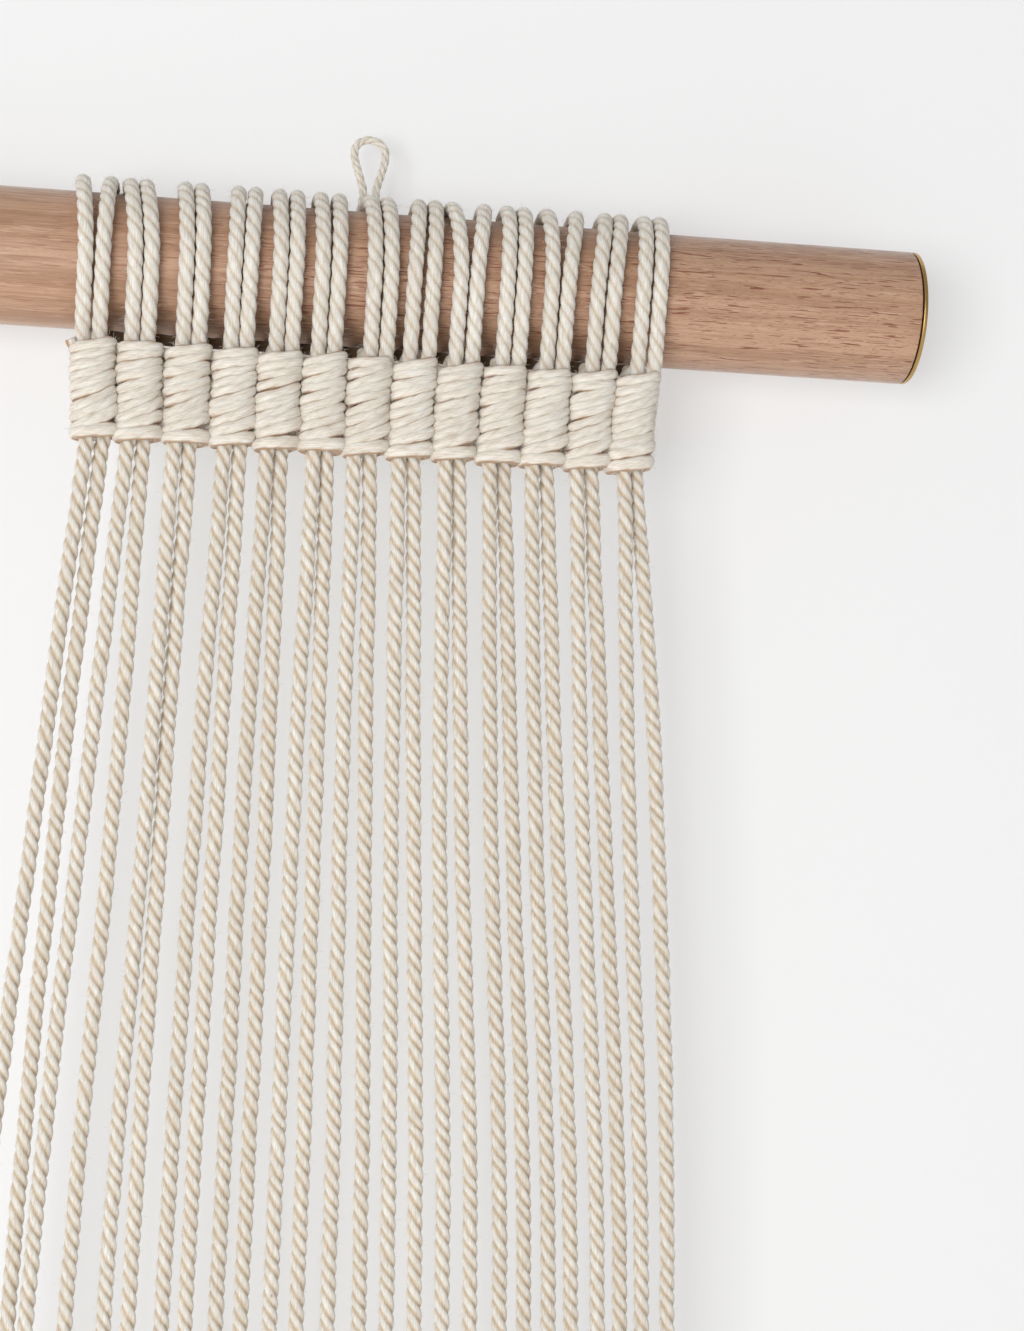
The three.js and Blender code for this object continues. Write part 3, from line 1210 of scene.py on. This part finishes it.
@dataclass
class Studio:
    """Camera, lights, wall and floor.

    Attributes:
        position: where the camera stands.
        yaw: how far it turns from the wall's normal, in degrees.
        pitch: how far it looks up, in degrees.
        roll: how far it turns about its own axis, in degrees.
        lens: its focal length in millimetres.
        film_height: the height of its picture in millimetres.
        aim_z: the height that the lamps face.
        wall_y: place of the wall.
        floor_z: height of the floor.
        reach: how far the wall and the floor go.
        sky: strength of the light from all sides.
    """

    position: tuple[float, float, float] = (-0.0354, -0.5775, -0.1667)
    yaw: float = 7.54
    pitch: float = 4.0
    roll: float = 2.3
    lens: float = 43.28
    film_height: float = 24.0
    aim_z: float = -0.2
    wall_y: float = 9 * MM
    floor_z: float = -0.62
    reach: float = 2.5
    sky: float = 0.4

    def camera(self) -> bpy.types.Object:
        """Creates the camera at the viewing angle and makes it the scene's.

        Returns:
            The camera object.
        """
        data = bpy.data.cameras.new("camera")
        data.sensor_fit = "VERTICAL"
        data.sensor_height = self.film_height
        data.lens = self.lens
        data.clip_start = 0.01
        obj = add_object("camera", data)
        turn = Matrix.Rotation(-math.radians(self.yaw), 4, "Z")
        tilt = Matrix.Rotation(math.radians(90 + self.pitch), 4, "X")
        spin = Matrix.Rotation(math.radians(self.roll), 4, "Z")
        obj.matrix_world = Matrix.Translation(self.position) @ turn @ tilt @ spin
        bpy.context.scene.camera = obj
        return obj

    def light(self, lamp: Lamp) -> bpy.types.Object:
        """Adds one lamp.

        Args:
            lamp: its place, size and power.

        Returns:
            The light object.
        """
        data = bpy.data.lights.new(lamp.name, "AREA")
        data.size = lamp.size
        data.energy = lamp.power
        obj = add_object(lamp.name, data)
        place = Vector(lamp.place)
        aim = Vector((0.0, KNOT_Y, self.aim_z)) - place
        turn = aim.to_track_quat("-Z", "Y").to_matrix().to_4x4()
        obj.matrix_world = Matrix.Translation(place) @ turn
        return obj

    def sheet(
        self, name: str, near: tuple[float, float], far: tuple[float, float]
    ) -> bpy.types.Object:
        """Makes one flat sheet of the studio.

        Args:
            name: the sheet's name.
            near: Y and Z of its near or lower edge.
            far: Y and Z of its far or upper edge.

        Returns:
            The mesh object.
        """
        mesh, reach = bpy.data.meshes.new(name), self.reach
        corners = [(-reach, *near), (reach, *near), (reach, *far), (-reach, *far)]
        mesh.from_pydata(corners, [], [tuple(range(len(corners)))])
        return add_object(name, mesh)

    def build(self) -> None:
        """Builds the whole studio."""
        self.camera()
        corner = (self.wall_y, self.floor_z)
        sheets = [
            self.sheet("studio_wall", corner, (self.wall_y, self.floor_z + self.reach)),
            self.sheet("studio_floor", (-self.reach, self.floor_z), corner),
        ]
        finish = StudioFinish().build()
        for sheet in sheets:
            sheet.data.materials.append(finish)
        self.light(KEY_LAMP)
        self.light(FILL_LAMP)
        world = bpy.data.worlds.new("studio_world")
        bpy.context.scene.world = world
        world.use_nodes = True
        back = world.node_tree.nodes["Background"]
        back.inputs["Color"].default_value = (1.0, 1.0, 1.0, 1.0)
        back.inputs["Strength"].default_value = self.sky
        bpy.context.scene.view_settings.view_transform = "Standard"


# ---- Cords that hang free ----------------------------------------------------------------------


@dataclass
class Fringe:
    """The twenty-six free ends under the hitches.

    Attributes:
        make: how the cords are made.
        fuzz_density: fibres on a square metre of cord.
        tuck: how far a cord runs on inside the hitches.
        fibres: loose fibres at each cut end.
        fray_length: their usual length.
        fray_width: how far from the cord's middle they start, as a share of its diameter.
        fray_lift: how far above the cut end they start.
        fray_spread: how far they lean apart, in radians.
        fray_sway: how far their tips bend aside.
        fibre_thickness: a loose fibre's radius.
        per_span: points between two of a route's levels.
        wander: how far a cord strays from its route.
        bend_start: not used.
        bend_length: not used.
    """

    twisted: TwistedCordTree
    fray: FrayTree
    fuzz: FuzzTree
    material: bpy.types.Material
    make: CordMake = COTTON_CORD
    fuzz_density: float = 60000.0
    tuck: float = 3 * MM
    fibres: int = 46
    fray_length: float = 7 * MM
    fray_width: float = 0.33
    fray_lift: float = 0.5 * MM
    fray_spread: float = 0.22
    fray_sway: float = 3 * MM
    fibre_thickness: float = 0.16 * MM
    per_span: int = 10
    wander: float = 0.7 * MM
    bend_start: float = KNOT_BOTTOM
    bend_length: float = 50 * MM

    def route(self, index: int) -> list[Vector]:
        """Works out the smooth route of one cord.

        Args:
            index: the cord's index.

        Returns:
            The route's points, from inside the hitches to the cut end.
        """
        places = HANGING_CORDS[index]
        y = KNOT_Y + (-PAIR_DEPTH if index % 2 == 0 else PAIR_DEPTH)
        xs = [*places, places[-1], places[-1]]
        points = [Vector((x, y, z)) for x, z in zip(xs, ROUTE_LEVELS)]
        lead = (points[0] - points[1]).normalized() * self.tuck
        return [points[0] + lead, *smooth_route(points, self.per_span)]

    def build(self) -> None:
        chance = random.Random(SEED)
        for index in range(len(HANGING_CORDS)):
            name = f"hanging_cord_{two_digits(index)}"
            route = self.route(index)
            piece = self.twisted.make(
                f"{name}_twisted",
                route,
                self.make,
                Phase=chance.uniform(0.0, math.tau),
                Offset=chance.uniform(0.0, 1.0),
                Tone=chance.uniform(0.97, 1.03),
                Wander=self.wander,
                Material=self.material,
            )
            loose = self.fray.make(
                f"{name}_fray",
                route[-1] + Vector((0.0, 0.0, self.fray_lift)),
                index,
                Radius=self.make.diameter * self.fray_width,
                Length=self.fray_length * chance.uniform(0.6, 1.1),
                Spread=self.fray_spread,
                Sway=self.fray_sway,
                Thickness=self.fibre_thickness,
                Tone=1.0,
                Offset=0.0,
                Fibres=self.fibres,
                Material=self.material,
            )
            loose = join([loose, self.fuzz.make(f"{name}_fuzz", piece, index, self.fuzz_density)])
            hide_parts(name)
            for part in (piece, loose):
                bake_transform(part)
            log.info("%s: %d triangles", piece.name, 2 * len(piece.data.polygons))


# ---- Cords over the dowel and the hanger -------------------------------------------------------


def around_dowel(x: float, angle: float, radius: float) -> Vector:
    """Returns a point round the dowel: angle 0 is its front, 90 its top and 180 its back."""
    turn = math.radians(angle)
    return Vector((x, DOWEL_Y - radius * math.cos(turn), DOWEL_Z + radius * math.sin(turn)))


@dataclass
class StrandLoops:
    """The part of each warp cord that lies over the dowel: two strands joined by a fold.

    Attributes:
        make: how the strands are made.
        fuzz_density: fibres on a square metre of strand.
        start_angle: angle round the dowel where a strand leaves the hitches.
        spread_angle: angle from which the two strands draw towards the fold's width.
        finish_angle: angle where the fold begins.
        sections: points of a strand round the dowel.
        tuck: how far a strand runs on inside the hitches.
        entry_z: height where a strand enters the hitches.
        fold_half_width: half the distance between the two strands at the fold.
        fold_tip: Y and Z of the fold's tip.
        wander: how far a strand strays from its route.
        hitch_column: index of the column that the hanger string passes under.
        hitch_angle: angle round the dowel where it does.
        hitch_span: angle over which the strands give way to the string.
        hitch_lift: how far the left strand rises over the string.
        hitch_lean: how far both strands lean to the left there.
        hitch_fade: how slowly that lean fades.
        hitch_shove: how far the string pushes the right strand aside.
    """

    twisted: TwistedCordTree
    fuzz: FuzzTree
    material: bpy.types.Material
    make: CordMake = TAUT_CORD
    fuzz_density: float = 120000.0
    start_angle: float = -11.0
    spread_angle: float = 130.0
    finish_angle: float = 277.0
    sections: int = 33
    tuck: float = 19 * MM
    entry_z: float = KNOT_TOP + 0.8 * MM
    fold_half_width: float = 2.3 * MM
    fold_tip: tuple[float, float] = (DOWEL_Y - 8.6 * MM, DOWEL_Z - 19.5 * MM)
    wander: float = 0.25 * MM
    hitch_column: int = 6
    hitch_angle: float = 115.0
    hitch_span: float = 18.0
    hitch_lift: float = 2.1 * MM
    hitch_lean: float = 0.85 * MM
    hitch_fade: float = 0.06
    hitch_shove: float = 1.6 * MM

    def lift_share(self, column: int, angle: float) -> float:
        """Works out how far a column's strands give way to the hanger string.

        Args:
            column: the column's index.
            angle: angle round the dowel.

        Returns:
            A share from 0 to 1.
        """
        if column != self.hitch_column:
            return 0.0
        return math.exp(-(((angle - self.hitch_angle) / self.hitch_span) ** 2))

    def strand(self, index: int, side: int) -> list[Vector]:
        """Works out one strand's route.

        Args:
            index: the column's index.
            side: 0 for the left strand, 1 for the right one.

        Returns:
            The strand's points, from inside the hitches over the dowel to the fold.
        """
        column = COLUMNS[index]
        low, high = column.into_knot[side] * MM, column.over_dowel[side] * MM
        fold = column.top * MM + (1 if side else -1) * self.fold_half_width
        radius = DOWEL_RADIUS + GAP + self.make.diameter / 2
        lean = (column.bottom - column.top) * MM * self.tuck / (KNOT_TOP - KNOT_BOTTOM)
        inside = Vector((low + lean, KNOT_Y - 0.4 * MM, self.entry_z - self.tuck))
        points = [inside, Vector((low, KNOT_Y, self.entry_z))]
        for section in range(self.sections):
            angle = lerp(self.start_angle, self.finish_angle, section / (self.sections - 1))
            share = self.lift_share(index, angle)
            front = lerp(low, high, smoothstep(angle, self.start_angle, 90.0))
            x = lerp(front, fold, smoothstep(angle, self.spread_angle, self.finish_angle))
            shove = share * self.hitch_shove if side else 0.0
            x += shove - self.hitch_lean * share**self.hitch_fade
            lift = 0.0 if side else share * self.hitch_lift
            points.append(around_dowel(x, angle, radius + lift))
        return points

    def route(self, index: int) -> list[Vector]:
        """Works out the whole route of one cord over the dowel.

        Args:
            index: the column's index.

        Returns:
            The route's points, from one strand's end over the fold to the other's.
        """
        left, right = self.strand(index, 0), self.strand(index, 1)
        middle = COLUMNS[index].top * MM
        y, z = self.fold_tip
        near = self.fold_half_width * 0.75
        tip = [
            Vector((middle - near, y + 1.7 * MM, z)),
            Vector((middle, y, z)),
            Vector((middle + near, y + 1.7 * MM, z)),
        ]
        return smooth_route([*left, *tip, *reversed(right)], 3)

    def build(self) -> None:
        """Makes every cord over the dowel."""
        chance = random.Random(SEED + 1)
        for index in range(len(COLUMNS)):
            name = f"cord_loop_{two_digits(index)}"
            piece = self.twisted.make(
                f"{name}_twisted",
                self.route(index),
                self.make,
                Phase=chance.uniform(0.0, math.tau),
                Offset=chance.uniform(2.0, 3.0),
                Tone=chance.uniform(0.98, 1.03),
                Wander=self.wander,
                Material=self.material,
            )
            piece = join([piece, self.fuzz.make(f"{name}_fuzz", piece, index, self.fuzz_density)])
            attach(piece, "band")
            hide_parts(name)
            log.info("%s: %d faces", piece.name, len(piece.data.polygons))


# The right leg of the string loop, from its bar to its eye: millimetres from the middle, and the
# share of the way from the bar to the nail. The left leg is its mirror image.
STRING_LEG = [
    (0.15, 0.0), (1.5, 0.0), (2.1, 0.03), (2.2, 0.09), (2.1, 0.17), (1.8, 0.25), (1.55, 0.33),
    (1.65, 0.4), (2.05, 0.48), (2.6, 0.57), (3.15, 0.66), (3.6, 0.74), (3.78, 0.8),
]


@dataclass
class HangerLoop:
    """The thin string loop, from its bar under a strand up to the nail and back.

    Attributes:
        make: how the string is made.
        hitch_angle: angle round the dowel where the bar lies.
        hitch_x: place of the bar along X.
        eye_half_width: half the width of the round eye at the top.
        eye_sections: points round the eye.
        eye_lean: how far the eye stands left of the bar.
        wander: how far the string strays from its route.
    """

    twisted: TwistedCordTree
    material: bpy.types.Material
    make: CordMake = HANGER_STRING
    hitch_angle: float = 115.0
    hitch_x: float = 1.1 * MM
    eye_half_width: float = 3.8 * MM
    eye_sections: int = 12
    eye_lean: float = 0.3 * MM
    wander: float = 0.2 * MM

    def place(self, x: float, rise: float) -> Vector:
        """Places a point of the loop.

        Args:
            x: how far right of the loop's middle.
            rise: 0 at the bar and 1 at the nail.

        Returns:
            The point.
        """
        radius = DOWEL_RADIUS + GAP + self.make.diameter / 2
        bar = around_dowel(0.0, self.hitch_angle, radius)
        nail = Vector((0.0, 0.0, self.make.diameter / 2))
        point = bar.lerp(nail, rise)
        return Vector((x + self.hitch_x - self.eye_lean * rise, point.y, point.z))

    def route(self) -> list[Vector]:
        """Works out the loop's route.

        Returns:
            Its points, from the middle of the bar round the eye and back.
        """
        length = (self.place(0.0, 1.0) - self.place(0.0, 0.0)).length
        eye_share = self.eye_half_width / length
        right = [self.place(x * MM, rise) for x, rise in STRING_LEG]
        left = [self.place(-x * MM, rise) for x, rise in STRING_LEG]
        eye = []
        for section in range(self.eye_sections + 1):
            turn = math.pi * section / self.eye_sections
            rise = 1 - eye_share + eye_share * math.sin(turn)
            eye.append(self.place(self.eye_half_width * math.cos(turn), rise))
        return smooth_route([*right, *eye, *reversed(left)], 4)

    def build(self) -> None:
        route = self.route()
        piece = self.twisted.make(
            "hanger_loop_twisted",
            route,
            self.make,
            Phase=1.0,
            Offset=5.0,
            Tone=0.97,
            Wander=self.wander,
            Material=self.material,
        )
        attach(piece, "hanger")
        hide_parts("hanger_loop")
        log.info("%s: %d faces", piece.name, len(piece.data.polygons))


# ---- Hitched columns ---------------------------------------------------------------------------


# Each wrap of the working cord across a column's front: how far down the column it lies at its
# left and at its right edge, as shares of the column's height. The larger steps on the right are
# where the cord crosses to the next column.
WRAPS = [
    (0.055, -0.03), (0.15, 0.045), (0.25, 0.12), (0.35, 0.20), (0.45, 0.285),
    (0.55, 0.37), (0.65, 0.46), (0.745, 0.56), (0.83, 0.69), (0.92, 0.87),
]

# How thick the wraps are at their left and right, from the last one up.
CLOSING_SIZES = [(1.05, 1.3), (1.0, 1.28), (1.0, 1.1)]

# How far down the columns the cord crosses from one to the next, and how far behind their middle.
CROSSINGS = [
    (0.03, 0.8), (0.18, 0.8), (0.33, 0.8), (0.48, 0.8), (0.63, 0.8), (0.76, 0.8), (0.88, 0.8),
    (0.11, 2.6), (0.26, 2.6), (0.41, 2.6), (0.56, 2.6), (0.7, 2.6), (0.83, 2.6),
]


@dataclass(frozen=True)
class Side:
    """Where a wrap lies at one side of its column.

    Attributes:
        drop: how far down the column, as a share of its height.
        swell: how far out of its usual place.
        size: how thick, as a share of the cord's usual thickness.
    """

    drop: float
    swell: float
    size: float

    def towards(self, other: Side, share: float, power: float = 1.0) -> Side:
        """Works out a place on the way to another.

        Args:
            other: the other place.
            share: how far on the way.
            power: how much the drop lags behind.

        Returns:
            The place between.
        """
        return Side(
            lerp(self.drop, other.drop, share**power),
            lerp(self.swell, other.swell, share),
            lerp(self.size, other.size, share),
        )


@dataclass
class HitchedColumns:
    """The band of double half hitches: one working cord wound round each pair of cords.

    Attributes:
        make: how the working cord is made and pressed.
        fuzz_density: fibres on a square metre of the wraps.
        half_width: from a column's middle to the working cord's at its side.
        half_depth: from a column's middle to the working cord's in front.
        rise_power: how late a wrap drops on its way across the front.
        squareness: 1 for an oval winding, less for a squarer one.
        turn_steps: points in a turn.
        scatter: how far the wraps lie out of their usual place, as a share of the height.
        crossing_rise: how far a crossing slopes down from its middle to its end.
        crossing_dip: how far a crossing's ends bend back.
        first_run_place: Y and Z of the cord's first pass behind the strands.
        first_run_shade_tone: how far that pass is darkened: painted shade, for the deep shade
        under the dowel.
        height: height of a column.
        chance: the random numbers.
    """

    pressed: PressedCordTree
    fuzz: FuzzTree
    material: bpy.types.Material
    make: PressedMake = WORKING_CORD
    fuzz_density: float = 220000.0
    half_width: float = 4.2 * MM
    rise_power: float = 1.6
    half_depth: float = 3.75 * MM
    squareness: float = 0.78
    turn_steps: int = 24
    scatter: float = 0.012
    crossing_rise: float = 0.5 * MM
    crossing_dip: float = 0.6 * MM
    first_run_place: tuple[float, float] = (-21.0 * MM, -55.9 * MM)
    first_run_shade_tone: float = 0.13
    height: float = KNOT_TOP - KNOT_BOTTOM
    chance: random.Random = field(default_factory=lambda: random.Random(SEED + 2))

    def centre(self, index: int, drop: float) -> float:
        """Returns X of a column's middle at a share of its height."""
        column = COLUMNS[index]
        return lerp(column.top, column.bottom, drop) * MM

    def place(self, index: int, turn: float, drop: float, swell: float) -> Vector:
        """Places a point on the rounded oblong that the working cord follows.

        Args:
            index: the column's index.
            turn: angle round the column. It is 180 at the left, 270 in front and 360 at the right.
            drop: how far down the column, as a share of its height.
            swell: how far out of its usual place the cord lies.

        Returns:
            The point.
        """
        cosine, sine = math.cos(math.radians(turn)), math.sin(math.radians(turn))
        across = math.copysign(abs(cosine) ** self.squareness, cosine)
        deep = math.copysign(abs(sine) ** self.squareness, sine)
        x = self.centre(index, drop) + (self.half_width + swell) * across
        y = KNOT_Y + (self.half_depth + swell) * deep
        return Vector((x, y, KNOT_TOP - drop * self.height))

    def wraps(self) -> list[tuple[Side, Side]]:
        """Lays the wraps of one column, each a little out of its usual place.

        Returns:
            Each wrap's left and right side.
        """
        sizes = [*[(1.0, 1.0)] * (len(WRAPS) - len(CLOSING_SIZES)), *reversed(CLOSING_SIZES)]
        scattered = []
        for drops, usual in zip(WRAPS, sizes):
            shift = self.chance.gauss(0.0, self.scatter * 0.5)
            slant = self.chance.gauss(0.0, self.scatter)
            sides = []
            for drop, size, sign in zip(drops, usual, (1.0, -1.0)):
                full = size * self.chance.uniform(0.95, 1.1)
                swell = self.chance.uniform(-0.2, 0.2) * MM + (full - 1.0) * self.make.depth / 2
                sides.append(Side(drop + shift + slant * sign, swell, full))
            scattered.append(tuple(sides))
        return scattered

    def winding(self, index: int) -> tuple[list[Vector], list[float]]:
        """Works out the route of the working cord round one column.

        Args:
            index: the column's index.

        Returns:
            The route's points, and the cord's thickness at each.
        """
        wraps = self.wraps()
        points, sizes = [], []
        for (left, right), (after, _) in zip(wraps, [*wraps[1:], wraps[-1]]):
            for step in range(self.turn_steps):
                turn = 180.0 + 360.0 * step / self.turn_steps
                if turn <= 360.0:
                    share = (1.0 + math.cos(math.radians(turn))) / 2
                    at = left.towards(right, share, self.rise_power)
                else:
                    at = right.towards(after, smoothstep(turn, 360.0, 540.0))
                points.append(self.place(index, turn, at.drop, at.swell))
                sizes.append(at.size)
        return points, sizes

    def crossing(self, index: int, drop: float, back: float) -> list[Vector]:
        """Works out the short route on which the working cord passes to the next column.

        Args:
            index: the index of the column that it comes from.
            drop: how far down the column, as a share of its height.
            back: how far behind the columns' middle.

        Returns:
            The route's points.
        """
        here, there = self.centre(index, drop), self.centre(index + 1, drop)
        y, z = KNOT_Y + back * MM, KNOT_TOP - drop * self.height
        rise, dip = self.crossing_rise, self.crossing_dip
        return [
            Vector((here + self.half_width * 0.4, y + dip, z + rise)),
            Vector((here + self.half_width * 0.9, y, z + rise * 0.5)),
            Vector((there - self.half_width * 0.9, y, z - rise * 0.5)),
            Vector((there - self.half_width * 0.4, y + dip, z - rise)),
        ]

    def tail(self) -> list[Vector]:
        """Works out the route of the working cord's cut end, beside the first column's top.

        Returns:
            The route's points.
        """
        start = self.place(0, 195.0, 0.08, 0.0)
        return [
            start + Vector((0.6, 0.4, -0.6)) * MM,
            start + Vector((0.0, 0.0, 0.8)) * MM,
            start + Vector((-0.7, -0.3, 1.9)) * MM,
            start + Vector((-1.0, -0.5, 2.5)) * MM,
        ]

    def first_run(self, index: int) -> list[Vector]:
        """Works out the route behind the strands on which the working cord first passes a column.

        Args:
            index: the column's index.

        Returns:
            The route's points.
        """
        here = self.centre(index, 0.0)
        there = self.centre(min(index + 1, len(COLUMNS) - 1), 0.0)
        y, z = self.first_run_place
        shares = (-0.1, 0.0, 0.33, 0.66, 1.0, 1.1)
        return [Vector((lerp(here, there, share), y, z)) for share in shares]

    def cord(
        self, name: str, route: list[Vector], fullness: Sequence[float] = (), tone: float = 1.0
    ) -> bpy.types.Object:
        """Makes one stretch of the working cord.

        Args:
            name: the stretch's name.
            route: the points that its middle follows.
            fullness: how thick it is at each point, as a share of its usual thickness.
            tone: how light it is. Below 1 it is painted shade.

        Returns:
            The mesh object.
        """
        return self.pressed.make(
            name,
            route,
            self.make,
            fullness,
            Phase=self.chance.uniform(0.0, math.tau),
            Offset=self.chance.uniform(7.0, 8.0),
            Tone=tone * self.chance.uniform(0.99, 1.03),
            Material=self.material,
        )

    def build(self) -> None:
        """Makes the columns with their crossings, one piece for each column."""
        for index in range(len(COLUMNS)):
            name = f"knot_{two_digits(index)}"
            stretches = [self.cord(f"{name}_hitches", *self.winding(index))]
            if index + 1 < len(COLUMNS):
                for number, (drop, back) in enumerate(CROSSINGS):
                    route = smooth_route(self.crossing(index, drop, back), 5)
                    stretches.append(self.cord(f"{name}_crossing_{number}", route))
            if index == 0:
                stretches.append(self.cord(f"{name}_tail", smooth_route(self.tail(), 5)))
            # The first pass is darkened with painted shade, for the deep shade under the dowel.
            first = self.first_run(index)
            stretches.append(self.cord(f"{name}_first_run", first, tone=self.first_run_shade_tone))
            fuzz = self.fuzz.make(f"{name}_fuzz", stretches[0], index, self.fuzz_density)
            piece = join([*stretches, fuzz])
            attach(piece, "band")
            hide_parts(name)
            log.info("%s: %d faces", piece.name, len(piece.data.polygons))


# ---- Dowel and discs ---------------------------------------------------------------------------


def lathe(name: str, profile: Sequence[tuple[float, float]], sides: int) -> bpy.types.Object:
    """Turns a profile about the dowel's axis.

    Args:
        name: the piece's name.
        profile: (X, radius) points from one end on the axis to the other.
        sides: points round the piece.

    Returns:
        The mesh object.
    """
    mesh = bpy.data.meshes.new(name)
    body = bmesh.new()
    rings = []
    for x, radius in profile:
        if radius == 0.0:
            rings.append([body.verts.new((x, DOWEL_Y, DOWEL_Z))])
            continue
        ring = []
        for side in range(sides):
            turn = math.tau * side / sides
            y, z = DOWEL_Y + radius * math.cos(turn), DOWEL_Z + radius * math.sin(turn)
            ring.append(body.verts.new((x, y, z)))
        rings.append(ring)
    for ring, after in zip(rings, rings[1:]):
        for side in range(sides):
            corners = [ring[side % len(ring)], ring[(side + 1) % len(ring)]]
            corners += [after[(side + 1) % len(after)], after[side % len(after)]]
            body.faces.new(dict.fromkeys(corners))
    bmesh.ops.recalc_face_normals(body, faces=body.faces)
    for face in body.faces:
        face.smooth = True
    body.to_mesh(mesh)
    body.free()
    return add_object(name, mesh)


@dataclass
class Dowel:
    """The beech dowel and the thin brass disc on each end.

    Attributes:
        sides: points round the dowel.
        rounding: radius of the dowel's edges.
        disc_rounding: radius of the discs' edges.
        bar_rings: stretches along the dowel's side.
        disc_rings: stretches along a disc's side.
        edge_steps: stretches across a rounded edge.
    """

    wood: bpy.types.Material
    brass: bpy.types.Material
    sides: int = 144
    rounding: float = 0.4 * MM
    disc_rounding: float = 0.3 * MM
    bar_rings: int = 60
    disc_rings: int = 2
    edge_steps: int = 4

    def edge(self, x: float, towards: float, rounding: float) -> list[tuple[float, float]]:
        """Works out the profile of a quarter-round edge.

        Args:
            x: place of the flat end.
            towards: 1 where the piece lies right of its end, -1 where it lies left of it.
            rounding: radius of the edge.

        Returns:
            The (X, radius) points, from the flat end to the full radius.
        """
        points = []
        for step in range(self.edge_steps + 1):
            turn = math.pi / 2 * step / self.edge_steps
            out = DOWEL_RADIUS - rounding + rounding * math.sin(turn)
            along = rounding * (1 - math.cos(turn))
            points.append((x + towards * along, out))
        return points

    def profile(
        self, low: float, high: float, rounding: float, rings: int
    ) -> list[tuple[float, float]]:
        """Works out the profile of a bar with rounded edges.

        Args:
            low: X of its left end.
            high: X of its right end.
            rounding: radius of its edges.
            rings: stretches along its side.

        Returns:
            The (X, radius) points.
        """
        left = [(low, 0.0), (low, DOWEL_RADIUS - 2 * rounding), *self.edge(low, 1.0, rounding)]
        right = [(high, 0.0), (high, DOWEL_RADIUS - 2 * rounding), *self.edge(high, -1.0, rounding)]
        start, end = low + rounding, high - rounding
        middle = [(lerp(start, end, ring / rings), DOWEL_RADIUS) for ring in range(1, rings)]
        return [*left, *middle, *reversed(right)]

    def build(self) -> None:
        """Makes the dowel and its discs in the places of their CAD nodes."""
        low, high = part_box("dowel")
        profile = self.profile(low[0], high[0], self.rounding, self.bar_rings)
        bar = lathe("dowel_turned", profile, self.sides)
        bar.data.materials.append(self.wood)
        pieces = [(bar, "dowel", "beech")]
        for node in ("end_disc_left", "end_disc_right"):
            low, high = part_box(node)
            profile = self.profile(low[0], high[0], self.disc_rounding, self.disc_rings)
            disc = lathe(f"{node}_turned", profile, self.sides)
            disc.data.materials.append(self.brass)
            pieces.append((disc, node, "brass"))
        for piece, node, slot in pieces:
            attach(piece, "dowel")
            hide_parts(node)
            log.info("%s: %d faces", piece.name, len(piece.data.polygons))


def main() -> None:
    """Builds the studio and every piece of the hanging, in order."""
    logging.basicConfig(level=logging.INFO, format="%(name)s: %(message)s")
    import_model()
    Studio().build()
    twisted = TwistedCordTree()
    fuzz = FuzzTree()
    Fringe(twisted, FrayTree(), fuzz, LOOSE_COTTON.build()).build()
    StrandLoops(twisted, fuzz, TAUT_COTTON.build()).build()
    HangerLoop(twisted, STRING_COTTON.build()).build()
    HitchedColumns(PressedCordTree(), fuzz, PRESSED_COTTON.build()).build()
    Dowel(BeechFinish().build(), BrassFinish().build()).build()


if __name__ == "__main__":
    main()
